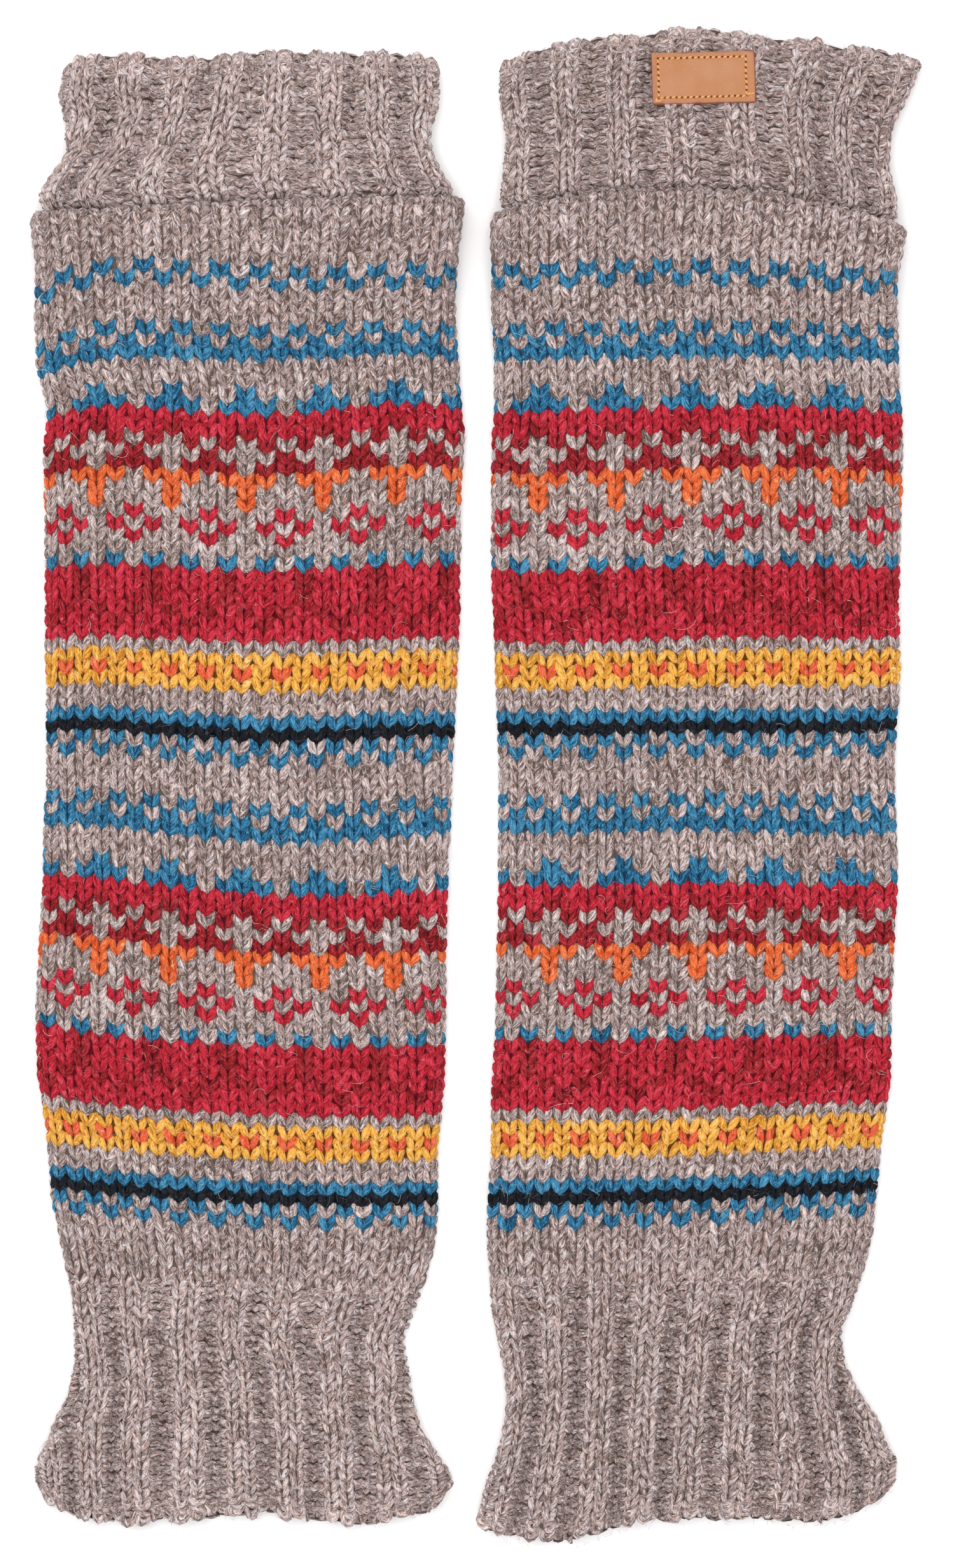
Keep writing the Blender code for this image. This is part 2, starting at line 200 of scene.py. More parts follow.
def yarn_material(name, shades, hairs, contrast):
    """Wool yarn from shades of fibre, darkest first, and the colour of its surface hairs."""
    material, tree, shader = new_material(name)
    yarn_map = add_node(tree, "ShaderNodeUVMap", uv_map="yarn")
    tone = add_node(tree, "ShaderNodeAttribute", attribute_name="tone")
    along = add_node(tree, "ShaderNodeSeparateXYZ", {"Vector": yarn_map})
    # Spun fibres climb round the yarn as they run along it.
    climb = add_node(
        tree, "ShaderNodeMath", {0: along.outputs["X"], 1: CLIMB}, operation="MULTIPLY")
    round_yarn = add_node(tree, "ShaderNodeMath", {0: along.outputs["Y"], 1: climb}, operation="ADD")
    stretched = add_node(
        tree, "ShaderNodeMath", {0: along.outputs["X"], 1: DRAWN_OUT}, operation="MULTIPLY")
    place = add_node(tree, "ShaderNodeCombineXYZ", {"X": stretched, "Y": round_yarn})
    locks = add_node(tree, "ShaderNodeTexNoise", {
        "Vector": place, "Scale": LOCKS_PER_MM, "Detail": 1.0, "Distortion": 0.7},
        noise_dimensions="2D")
    fibres = add_node(tree, "ShaderNodeTexNoise", {
        "Vector": place, "Scale": FIBRES_PER_MM, "Detail": 2.0, "Roughness": 0.5,
        "Distortion": 0.9}, noise_dimensions="2D")
    both = add_node(
        tree, "ShaderNodeMath", {0: fibres, 1: FIBRE_SHARE, 2: locks}, operation="MULTIPLY_ADD")
    shade = add_node(tree, "ShaderNodeMath", {0: both, 1: tone.outputs["Fac"]}, operation="ADD")
    middle_shade = 1.0 + FIBRE_SHARE / 2
    share = add_node(tree, "ShaderNodeMapRange", {
        "Value": shade, "From Min": middle_shade - contrast, "From Max": middle_shade + contrast})
    ramp = add_node(tree, "ShaderNodeValToRGB", {"Fac": share})
    set_ramp(ramp, {k / (len(shades) - 1): colour for k, colour in enumerate(shades)})
    # Some locks are warmer in hue than others.
    warmth = add_node(tree, "ShaderNodeTexNoise", {
        "Vector": place, "Scale": HUES_PER_MM, "Detail": 2.0}, noise_dimensions="2D")
    tint = add_node(tree, "ShaderNodeValToRGB", {"Fac": warmth})
    set_ramp(tint, {0.36: "#F3F6FA", 0.64: "#FFF0EA"})
    tinted = add_node(
        tree, "ShaderNodeMix", {"Factor": 1.0, "A": ramp, "B": tint}, data_type="RGBA",
        blend_type="MULTIPLY")
    # Loose fibres cross the stitches in thin curls, wherever a cloudy pattern passes its middle.
    surface = add_node(tree, "ShaderNodeTexCoord")
    curls = add_node(tree, "ShaderNodeTexNoise", {
        "Vector": surface.outputs["Object"], "Scale": CURLS_PER_METRE, "Detail": 0.0,
        "Distortion": 0.8})
    off_curl = add_node(tree, "ShaderNodeMath", {0: curls, 1: 0.5}, operation="SUBTRACT")
    off_curl = add_node(tree, "ShaderNodeMath", {0: off_curl}, operation="ABSOLUTE")
    thin = add_node(tree, "ShaderNodeMapRange", {
        "Value": off_curl, "From Min": 0.008, "From Max": 0.03, "To Min": 1.0, "To Max": 0.0})
    clumps = add_node(tree, "ShaderNodeTexNoise", {
        "Vector": surface.outputs["Object"], "Scale": CLUMPS_PER_METRE, "Detail": 1.0})
    present = add_node(tree, "ShaderNodeMapRange", {
        "Value": clumps, "From Min": 0.48, "From Max": 0.6, "To Max": 0.75})
    hair_share = add_node(tree, "ShaderNodeMath", {0: thin, 1: present}, operation="MULTIPLY")
    colour = add_node(tree, "ShaderNodeMix", {
        "Factor": hair_share, "A": tinted.outputs[2], "B": linear(hairs)}, data_type="RGBA")
    raised = add_node(tree, "ShaderNodeMath", {0: both, 1: hair_share}, operation="ADD")
    bump = add_node(
        tree, "ShaderNodeBump", {"Height": raised, "Strength": 0.6, "Distance": 0.5 * MM})
    set_inputs(tree, shader, {
        "Base Color": colour.outputs[2], "Normal": bump, "Roughness": 0.92,
        "Specular IOR Level": 0.15, "Sheen Weight": 0.2, "Sheen Roughness": 0.55,
        "Sheen Tint": linear(hairs)})
    return material


YARNS = {
    # Undyed heather wool, from brown fibres to near-white ones.
    "G": yarn_material(
        "heather_wool", ("#53453F", "#7C6C68", "#9B8B89", "#B8AAA9", "#D8D0CE"), "#D8D2CF", 0.32),
    # Dyed wools: bright blue, crimson, dark red, orange, coral, mustard and blue-black.
    "B": yarn_material("blue_wool", ("#0C3856", "#266B92", "#5598BA"), "#5F99B8", 0.32),
    "R": yarn_material("crimson_wool", ("#6C0B18", "#B02030", "#CC4256"), "#CC5F6C", 0.36),
    "D": yarn_material("dark_red_wool", ("#540A10", "#901B23", "#AE3A44"), "#B04A54", 0.33),
    "O": yarn_material("orange_wool", ("#A43A18", "#D66030", "#E28656"), "#E0A880", 0.36),
    "C": yarn_material("coral_wool", ("#A6381C", "#D65A36", "#E07E5A"), "#DB9D84", 0.36),
    "M": yarn_material("mustard_wool", ("#A6681A", "#DEA53E", "#EAC070"), "#EAD094", 0.33),
    "K": yarn_material("black_wool", ("#06080B", "#11141A", "#272B34"), "#3E414A", 0.36),
}

# The cloth behind the stitches, where their yarns cross out of the light: its colour is each
# yarn's own, darkened as painted shade.
TANGLES_PER_METRE = 900.0
backing, tree, shader = new_material("shaded_wool")
place = add_node(tree, "ShaderNodeTexCoord")
tangle = add_node(tree, "ShaderNodeTexNoise", {
    "Vector": place.outputs["Object"], "Scale": TANGLES_PER_METRE, "Detail": 3.0, "Roughness": 0.7})
mottle = add_node(tree, "ShaderNodeMapRange", {
    "Value": tangle, "From Min": 0.3, "From Max": 0.7, "To Min": 0.55, "To Max": 1.1})
# For the shell this colour is its yarn's, darkened as painted shade.
dye_and_shade = add_node(tree, "ShaderNodeAttribute", attribute_name="dye_and_shade")
shaded = add_node(tree, "ShaderNodeVectorMath", {0: dye_and_shade, "Scale": mottle}, operation="SCALE")
dents = add_node(tree, "ShaderNodeBump", {"Height": tangle, "Strength": 0.8, "Distance": 0.6 * MM})
set_inputs(tree, shader, {
    "Base Color": shaded, "Normal": dents, "Roughness": 0.95, "Specular IOR Level": 0.1})

# The left leg's body. A tube of stocking stitch, 48 stitches round and 39 rows to a repeat of the
# bands. Its cross-sections are flat ovals, one layer of cloth above and one below, read between
# the rows of this table.
Section = namedtuple(
    "Section", "y left right tilt bow floor crown relief corner edge inset",
    defaults=(1.0, 0.0, 0.0, 0.0))

LEFT_BODY = [
    # y, left, right, tilt, bow, floor, crown
    Section(90.5, -144.3, -18.5, -3.0, -1.0, 0.0, 6.8),
    Section(106.0, -147.6, -14.5, -4.5, -1.5, 0.0, 7.0),
    Section(118.5, -150.5, -13.3, -6.0, -2.0, 0.0, 7.2),
    Section(140.0, -151.8, -13.4, -5.5, -1.0, 0.0, 7.2),
    Section(162.5, -155.4, -11.0, -5.0, -1.5, 0.0, 7.0),
    Section(185.0, -156.2, -10.2, -4.5, -2.0, 0.0, 7.2),
    Section(207.5, -155.0, -10.5, -4.5, -2.0, 0.0, 7.2),
    Section(230.0, -153.4, -9.6, -4.0, -2.0, 0.0, 7.0),
    Section(275.0, -152.5, -8.0, -1.0, -1.5, 0.0, 7.2),
    Section(320.0, -152.5, -5.6, 2.0, 0.0, 0.0, 7.0),
    Section(365.0, -152.6, -5.0, 5.0, 1.5, 0.0, 7.2),
    Section(387.5, -153.7, -3.6, 6.5, 2.0, 0.0, 7.2),
    Section(405.0, -151.9, -5.5, 8.0, 2.5, 0.0, 7.6),
    Section(419.0, -155.6, -6.4, 8.0, 3.0, 0.0, 8.6),
    Section(436.0, -156.0, -7.1, 7.0, 2.5, 0.0, 13.0),
    Section(453.5, -155.5, -5.9, 6.5, 1.5, 0.0, 19.4),
    Section(469.5, -157.5, -3.7, 6.0, 1.0, 0.0, 19.4),
]

# How high rows of stitches run, at five places across the leg. Row 0 is the first coloured one.
LEFT_PLACES = (-150.2, -116.4, -80.4, -44.4, -14.1)
LEFT_ROWS = {
    1: (440.1, 446.1, 443.9, 443.7, 444.2),
    7: (415.0, 420.6, 419.7, 421.1, 420.9),
    12: (395.1, 398.9, 396.0, 398.5, 399.8),
    27.5: (331.9, 332.2, 330.8, 331.4, 332.6),
    33: (308.4, 309.0, 306.8, 307.9, 308.6),
    40: (280.1, 279.2, 276.1, 276.5, 277.7),
    46: (255.5, 253.5, 249.6, 250.1, 252.8),
    51: (233.6, 230.4, 226.6, 225.9, 227.3),
    66.5: (169.9, 164.8, 163.1, 162.2, 163.1),
    72: (146.8, 143.4, 141.0, 139.8, 141.0),
    79: (118.6, 115.7, 113.2, 112.7, 113.2),
}

# Where every second column of stitches lies across the leg at some rows: the row, the first of
# these columns and their places. The columns wander, and they turn slowly round the leg.
Columns = namedtuple("Columns", "row first places step", defaults=(2,))
LEFT_COLUMNS = [
    Columns(0.5, 1, (
        -151.5, -138.3, -123.6, -110.1, -97.1, -83.6, -68.7, -55.9, -42.4, -28.0, -14.1)),
    Columns(24, 0, (
        -150.2, -139.8, -127.7, -114.6, -101.1, -88.3, -74.4, -60.6, -47.6, -34.8, -21.9, -9.8)),
    Columns(40, 1, (
        -144.8, -132.6, -120.9, -108.8, -96.0, -84.0, -69.6, -56.4, -43.5, -31.4, -18.8)),
    Columns(63, 0, (
        -151.5, -139.4, -127.2, -114.6, -101.6, -87.9, -74.1, -60.6, -47.6, -34.1, -20.8)),
    Columns(79, 1, (
        -140.5, -128.8, -117.6, -104.5, -91.2, -78.4, -65.8, -52.5, -39.7, -26.4, -15.4)),
]

BODY_STITCHES = 48
FIRST_COLUMN = -1
BODY_PITCH = 4.25
BODY_ROLL = 3.15

# One repeat of the bands, four columns wide, from the top: grey, blue, crimson, dark red, orange,
# coral, mustard and black.
BANDS = (
    "GBGB", "BGBG", "GGGG", "GGGG", "GGGG", "GBGB", "BGBG", "BBBB", "GGGG", "GGGG",
    "GGBG", "GBBB", "RRRR", "RRDR", "GDGD", "DGGG", "DDGD", "GOOO", "GGOG", "GGOG",
    "RGGG", "GRGR", "RGGG", "GGGG", "GBGB", "RDRR", "RDRR", "RDRR", "DRDR", "RRRD",
    "RRRR", "GGGG", "MMMM", "CMCM", "MMMM", "GGGG", "GGGG", "BBBB", "KKKK",
)
BAND_WIDTH = len(BANDS[0])
LAST_COLOURED_ROW = 2 * len(BANDS) + 1


def band_yarn(row, column):
    """The letter of the yarn that a stitch of a body is knitted in."""
    if row < 0 or row > LAST_COLOURED_ROW:
        return "G"
    return BANDS[row % len(BANDS)][(column - 1) % BAND_WIDTH]


def section_at(table, up):
    """Cross-sections at many heights up a leg, read between a table's rows."""
    rows = np.array(table)
    return Section(*(np.interp(up, rows[:, 0], rows[:, k]) for k in range(rows.shape[1])))


# How sharply a section's ends turn up or down towards its corners.
CORNER_SHARPNESS = 8


def section_height(section, x):
    """How high up the leg a section runs at a place across it."""
    sway = 2 * (x - section.left) / (section.right - section.left) - 1
    corner = section.corner * sway**CORNER_SHARPNESS
    return section.y + section.tilt * sway / 2 + section.bow * (1 - sway**2) + corner


def tube_parts(section):
    """The radius of a tube's folds, where its flat side starts and how wide it is, and a quarter arc."""
    radius = (section.crown - section.floor) / 2
    start = section.left + section.inset + radius
    return radius, start, section.right - section.inset - radius - start, pi * radius / 2


def round_tube(section, share):
    """Where a share of the way round a tube lies: the arc's centre across it, and the arc's angle.

    The way starts at the left fold, goes over the upper side and comes back underneath.
    """
    radius, start, width, quarter = tube_parts(section)
    passed = share % 1.0 * (2 * width + 4 * quarter)
    above = np.clip(passed - quarter, 0, width)
    below = np.clip(passed - 3 * quarter - width, 0, width)
    return start + above - below, pi - (passed - above - below) / radius


def across_at(section, centre, angle):
    """Where a point of a section's outer face lies across the leg."""
    return centre + (section.crown - section.floor) / 2 * np.cos(angle)


def share_of(section, x):
    """The share of the way round a tube at a place across its upper side."""
    radius, start, width, quarter = tube_parts(section)
    over = np.clip(x - start, 0, width)
    side = np.clip((x - start - over) / radius, -1, 1)
    return (quarter + over + np.arcsin(side) * radius) / (2 * width + 4 * quarter)


# How a cuff's free edge wanders: the height of its last section, places across it and how far the
# edge lies above its smooth line at each, fading out along the cuff. The lower layer looks out from
# under it.
EdgeLine = namedtuple("EdgeLine", "y places rises")
SMOOTH_EDGE = EdgeLine(0.0, (0.0,), (0.0,))
EDGE_REACH = 16.0
UNDER_LAYER_REACH = 1.2


def lay(table, roll, edge_line, up, share, depth):
    """Points of a tube's cloth, depth millimetres inside its outer face, in millimetres.

    Past either end of the table the cloth rolls over and goes back inside itself.
    """
    held = np.clip(up, table[0].y, table[-1].y)
    past = up - held
    turn = np.minimum(abs(past) / roll, pi)
    back = np.sign(past) * np.maximum(abs(past) - pi * roll, 0)
    section = section_at(table, held - back)
    centre, angle = round_tube(section, share)
    radius = (section.crown - section.floor) / 2
    reach = radius - roll + (roll - depth) * np.cos(turn)
    x = centre + reach * np.cos(angle)
    y = section_height(section, x) + np.sign(past) * (roll - depth) * np.sin(turn)
    y += UNDER_LAYER_REACH * section.edge * np.clip(-np.sin(angle), 0, 1)
    nearness = np.clip(1 - abs(held - back - edge_line.y) / EDGE_REACH, 0, 1)
    y += nearness * np.interp(x, edge_line.places, edge_line.rises)
    z = section.floor + radius + reach * np.sin(angle)
    return np.stack([x, y, z], axis=-1)


# A piece of cloth as a fine grid of points and outward directions. first_column and first_row are
# the stitch at its corner, and the rest keeps how each point was found.
Cloth = namedtuple(
    "Cloth", "points outward first_column first_row stitches table roll edge_line up share raised")
COLUMN_STEPS = 8
ROW_STEPS = 2
JUST_INSIDE = 0.001


def make_cloth(table, roll, edge_line, stitches, first_column, rows, find_up, find_share, relief):
    """The grid of a cloth whose stitches lie where find_share and find_up say.

    relief tells how far places stand out, from their column, height, place across and upwardness.
    """
    columns = first_column + np.arange(-1, stitches * COLUMN_STEPS + 2) / COLUMN_STEPS
    first, last = rows
    rows = np.linspace(first, last, round((last - first) * ROW_STEPS) + 1)
    row, column = np.meshgrid(rows, columns, indexing="ij")
    share = find_share(row, column)
    up = find_up(row, share)
    section = section_at(table, np.clip(up, table[0].y, table[-1].y))
    centre, angle = round_tube(section, share)
    raised = relief(column, up, across_at(section, centre, angle), np.sin(angle))
    points = lay(table, roll, edge_line, up, share, -raised)
    down, across = np.gradient(points, axis=(0, 1))
    outward = np.cross(down, across)
    outward /= np.linalg.norm(outward, axis=-1, keepdims=True)
    # The grid is one step wider to each side, for the directions along its seam.
    inner = slice(1, -1)
    return Cloth(
        points[:, inner], outward[:, inner], first_column, first, stitches, table, roll,
        edge_line, up[:, inner], share[:, inner], raised[:, inner])


def on_cloth(cloth, column, row):
    """The cloth's points and outward directions at many stitches, read between its grid's points."""
    across = (column - cloth.first_column) % cloth.stitches * COLUMN_STEPS
    last = len(cloth.points) - 1
    down = np.clip((row - cloth.first_row) * ROW_STEPS, 0, last - JUST_INSIDE)
    i, j = down.astype(int), np.minimum(across.astype(int), cloth.points.shape[1] - 2)
    u, v = (across - j)[..., None], (down - i)[..., None]
    found = []
    for grid in (cloth.points, cloth.outward):
        upper = grid[i, j] * (1 - u) + grid[i, j + 1] * u
        lower = grid[i + 1, j] * (1 - u) + grid[i + 1, j + 1] * u
        found.append(upper * (1 - v) + lower * v)
    return found


def shares_from(columns, stitches, find_section):
    """A function from stitches to shares of the way round, from the measured places of columns."""
    heights, tables = [], []
    for line in columns:
        known = line.first + line.step * np.arange(len(line.places))
        shares = share_of(find_section(line), np.array(line.places))
        left = known[0] - shares[0] * (known[1] - known[0]) / (shares[1] - shares[0])
        right = known[-1] + (0.5 - shares[-1]) * (known[-1] - known[-2]) / (shares[-1] - shares[-2])
        known = np.concatenate([[left], known, [right]])
        shares = np.concatenate([[0.0], shares, [0.5]])
        turns = (-1, 0, 1, 2)
        heights.append(line.row)
        tables.append((
            np.concatenate([known + turn * stitches for turn in turns]),
            np.concatenate([shares + turn for turn in turns])))

    def find_share(row, column):
        """Shares of the way round, read between the measured rows and columns."""
        each = np.stack([np.interp(column, known, shares) for known, shares in tables])
        row = np.clip(row, heights[0], heights[-1] - JUST_INSIDE)
        k = np.clip(np.searchsorted(heights, row, side="right") - 1, 0, len(heights) - 2)
        lower, upper = np.array(heights)[k], np.array(heights)[k + 1]
        t = (row - lower) / (upper - lower)
        i, j = np.indices(row.shape)
        return each[k, i, j] * (1 - t) + each[k + 1, i, j] * t

    return find_share


# A soft fold in cloth that lies flat: its middle, how far it runs and how wide it is to each side,
# how it is turned and how far it stands out, or below zero sinks in.
Crease = namedtuple("Crease", "x y length width turn rise")
CREASE_BEND = 0.12


def crease_relief(creases, x, y):
    """How far soft folds lift the cloth at many places."""
    lifted = np.zeros(x.shape)
    for crease in creases:
        turn = radians(crease.turn)
        along = (x - crease.x) * cos(turn) + (y - crease.y) * sin(turn)
        beside = (y - crease.y) * cos(turn) - (x - crease.x) * sin(turn)
        # A fold bends a little on its way and fades out at its ends.
        beside += CREASE_BEND * along * np.sin(along / crease.length)
        lifted += crease.rise * np.exp(-(along / crease.length)**2 - (beside / crease.width)**2)
    return lifted


# A body's cloth runs over these rows, from its tucked-in end to its bottom cuff. Rows keep their
# bend a little past the outermost measured places, and each point settles to its row's height in
# small steps.
BODY_CLOTH_ROWS = (-13.0, 85.0)
ROW_BEND = 4
PAST_PLACES = 1.1
SETTLING_STEPS = 12
SETTLING_SHARE = 0.9


def body_cloth(table, places, lines, columns, creases, hidden_creases):
    """The cloth of a body, whose rows and columns lie where they were measured."""
    numbers = np.array(list(lines))
    heights = np.array(list(lines.values()))
    middle, half = (places[0] + places[-1]) / 2, (places[-1] - places[0]) / 2

    def row_height(row, x):
        """The height of rows, on a smooth line across through the measured places."""
        pitch_above = (numbers[0] - np.minimum(row, numbers[0])) * BODY_PITCH
        pitch_below = (np.maximum(row, numbers[-1]) - numbers[-1]) * BODY_PITCH
        at_places = np.stack([np.interp(row[:, 0], numbers, known) for known in heights.T])
        bends = np.polynomial.polynomial.polyfit(
            (np.array(places) - middle) / half, at_places, ROW_BEND)
        across = np.clip((x - middle) / half, -PAST_PLACES, PAST_PLACES)
        height = sum(bend[:, None] * across**k for k, bend in enumerate(bends))
        return height + pitch_above - pitch_below

    def find_up(row, share):
        """How high up the leg the sections of many stitches lie."""
        up = row_height(row, np.full(row.shape, middle))
        for _ in range(SETTLING_STEPS):
            held = np.clip(up, table[0].y, table[-1].y)
            section = section_at(table, held)
            x = across_at(section, *round_tube(section, share))
            error = row_height(row, x) - section_height(section, x) - (up - held)
            up = up + SETTLING_SHARE * error
        return up

    def find_section(line):
        """The section that a measured row crosses."""
        return section_at(table, np.interp(line.row, numbers, heights.mean(axis=1)))

    def relief(column, up, x, upwardness):
        """Folds fade towards the sides, and underneath they only sink in."""
        above = crease_relief(creases, x, up) * np.clip(upwardness, 0, 1)
        return above + crease_relief(hidden_creases, x, up) * np.clip(-upwardness, 0, 1)

    find_share = shares_from(columns, BODY_STITCHES, find_section)
    return make_cloth(
        table, BODY_ROLL, SMOOTH_EDGE, BODY_STITCHES, FIRST_COLUMN, BODY_CLOTH_ROWS, find_up,
        find_share, relief)


# Yarn shapes. Each is bent from a flat grid that is modelled once. It is half a round yarn, open
# on the side that the cloth hides, and its points count in columns across, rows down and
# millimetres out of the cloth.
Shape = namedtuple("Shape", "points faces along round_it")
YARN_REACH = radians(105)


def take_shape():
    """The points and faces of the mesh that was just added, which is then removed."""
    shape = bpy.context.object
    points = np.array([vertex.co for vertex in shape.data.vertices])
    faces = np.array([face.vertices for face in shape.data.polygons])
    bpy.data.objects.remove(shape, do_unlink=True)
    return points, faces


def yarn_shape(path, strips, steps, pitch):
    """Half a yarn round a path of (across, down, out, half width, half thickness)."""
    bpy.ops.mesh.primitive_grid_add(x_subdivisions=strips, y_subdivisions=steps, size=2.0)
    flat, faces = take_shape()
    knots = np.array(path)
    knots[:, 0] *= pitch[0]
    knots[:, 1] *= pitch[1]
    knots[:, 3] *= pitch[0]
    time = (flat[:, 1] + 1) / 2 * (len(knots) - 1)
    stations = np.arange(len(knots))
    centre = np.stack([np.interp(time, stations, knots[:, k]) for k in range(5)], axis=-1)
    heading = np.gradient(knots[:, :2], axis=0)
    heading = np.stack([np.interp(time, stations, heading[:, k]) for k in range(2)], axis=-1)
    heading /= np.linalg.norm(heading, axis=-1, keepdims=True)
    angle = pi / 2 - flat[:, 0] * YARN_REACH
    sideways = centre[:, 3] * np.cos(angle)
    points = np.stack([
        (centre[:, 0] - heading[:, 1] * sideways) / pitch[0],
        (centre[:, 1] + heading[:, 0] * sideways) / pitch[1],
        centre[:, 2] + centre[:, 4] * np.sin(angle)], axis=-1)
    steps_along = np.linalg.norm(np.diff(knots[:, :3], axis=0), axis=1)
    lengths = np.concatenate([[0], np.cumsum(steps_along)])
    return Shape(points, faces, np.interp(time, stations, lengths), angle * centre[:, 3])


# A stitch leg as wide as half a column: it comes out low at the V's tip, swells, and goes in
# again behind the next stitch up.
LEG_PATH = [
    (0.04, 0.78, -2.5, 0.07, 0.7),
    (0.12, 0.50, -1.35, 0.17, 1.1),
    (0.23, 0.09, -1.1, 0.225, 1.35),
    (0.33, -0.36, -1.3, 0.235, 1.3),
    (0.41, -0.84, -2.8, 0.18, 0.9),
]
BODY_STITCH = (6.1, 4.25)
BODY_LEG = yarn_shape(LEG_PATH, 4, 4, BODY_STITCH)
HIDDEN_LEG = yarn_shape(LEG_PATH[::2], 3, 2, BODY_STITCH)

# How unevenly the yarn was spun: the slow drift of its tone, which runs on from stitch to stitch and
# from row to row, and each stitch's own.
YARN_TONE = 0.48
TONE_DRIFT = 0.045
TONE_OF_STITCH = 0.055
DRIFT_STEPS = 4000
DRIFT_STEPS_A_ROW = 7.3
STITCHES_A_DRIFT_STEP = 3.0


def slow_tones(rng, columns, rows):
    """A tone for each stitch that drifts along the yarn, as unevenly spun wool does."""
    drift = rng.normal(0, TONE_DRIFT, DRIFT_STEPS)
    place = rows * DRIFT_STEPS_A_ROW + columns / STITCHES_A_DRIFT_STEP
    drifted = np.interp(place % (DRIFT_STEPS - 10), np.arange(DRIFT_STEPS), drift)
    return drifted + rng.normal(0, TONE_OF_STITCH, len(columns))


# How unevenly the stitches were knitted: in size, place across and down, height and lean.
# Stitches underneath lie a little lower, and wool rests just above the floor. Each copy starts
# somewhere else along its yarn.
UNEVEN_SIZE = 0.07
UNEVEN_ACROSS = 0.025
UNEVEN_DOWN = 0.05
UNEVEN_HEIGHT = 0.12
KNIT_LEAN = 0.055
HIDDEN_SINK = 0.25
RESTING_HEIGHT = 0.05
FAR_ALONG_YARN = 500


def place_yarn(cloth, shape, columns, rows, mirror, rng, lower=0.0, lean=KNIT_LEAN, paler=0.0):
    """A copy of a yarn shape on each stitch, bent to the cloth there, no two quite alike.

    It gives the points, faces, places along and round the yarn, and tones.
    """
    count = len(columns)
    across = shape.points[None, :, 0] * (1 + rng.normal(0, UNEVEN_SIZE, (count, 1)))
    down = shape.points[None, :, 1] * (1 + rng.normal(0, UNEVEN_SIZE, (count, 1)))
    turn = rng.normal(0, lean, (count, 1))
    across, down = across + turn * down, down - turn * across
    across = mirror * (across + rng.normal(0, UNEVEN_ACROSS, (count, 1))) + columns[:, None]
    down = down + rows[:, None] + rng.normal(0, UNEVEN_DOWN, (count, 1))
    out = shape.points[None, :, 2] + rng.normal(0, UNEVEN_HEIGHT, (count, 1)) - lower
    base, outward = on_cloth(cloth, across, down)
    points = (base + outward * out[..., None]).reshape(-1, 3)
    # Wool that rests on the floor is pressed flat by it.
    points[:, 2] = np.maximum(points[:, 2], RESTING_HEIGHT)
    order = shape.faces if mirror > 0 else shape.faces[:, ::-1]
    faces = (order[None] + len(shape.points) * np.arange(count)[:, None, None]).reshape(-1, 4)
    offsets = rng.uniform(0, FAR_ALONG_YARN, (count, 2, 1))
    along = (shape.along[None] + offsets[:, 0]).ravel()
    round_it = (mirror * shape.round_it[None] + offsets[:, 1]).ravel()
    tones = YARN_TONE + paler + slow_tones(rng, columns, rows)
    return points, faces, along, round_it, np.repeat(tones, len(shape.points))


def joined(parts):
    """The points and faces of many parts as one."""
    starts = np.cumsum([0] + [len(part[0]) for part in parts])
    faces = [part[1] + start for part, start in zip(parts, starts)]
    return np.concatenate([part[0] for part in parts]), np.concatenate(faces)


def in_frame(points):
    """Points of the tables, in millimetres, as places in the frame, in metres."""
    return (points + ORIGIN) * MM


def to_mesh(name, places, faces, material):
    """A smooth mesh piece from places in the frame."""
    mesh = bpy.data.meshes.new(name)
    mesh.from_pydata(places.tolist(), [], faces.tolist())
    mesh.shade_smooth()
    mesh.materials.append(material)
    piece = bpy.data.objects.new(name, mesh)
    bpy.context.collection.objects.link(piece)
    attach(piece, "root")
    return piece


def keep_tone(piece, tones):
    """Give each point of a piece its tone."""
    piece.data.attributes.new("tone", "FLOAT", "POINT").data.foreach_set("value", tones)


def keep_point_colours(piece, colours):
    """Give each point of a piece its colour: the dye of a hair, or a yarn's colour darkened as painted
    shade.
    """
    dye_and_shade = piece.data.color_attributes.new("dye_and_shade", "FLOAT_COLOR", "POINT")
    dye_and_shade.data.foreach_set("color", np.array(colours).ravel())


def yarn_piece(name, copies, material):
    """One mesh from lists of placed yarn, with its map and its tones."""
    points, faces = joined(copies)
    piece = to_mesh(name, in_frame(points), faces, material)
    along, round_it, tones = (np.concatenate([copy[k] for copy in copies]) for k in (2, 3, 4))
    layer = piece.data.uv_layers.new(name="yarn")
    layer.data.foreach_set("uv", np.stack([along, round_it], axis=-1)[faces.ravel()].ravel())
    keep_tone(piece, tones)
    return piece


# The shell of cloth behind the stitches: how deep under their surface it lies, how thick it is,
# how far past its table's ends a row still lies flat, and each yarn's colour there, darkened as
# painted shade.
SHELL_SINK = 1.6
SHELL_WALL = 0.9
PAST_TABLE = 0.1
PAINTED_SHADE_COLOURS = {
    "G": "#66574F", "B": "#0E3A58", "R": "#640C1C", "D": "#520A12", "O": "#7E2C0E", "C": "#732818",
    "M": "#5E3C0A", "K": "#040508",
}


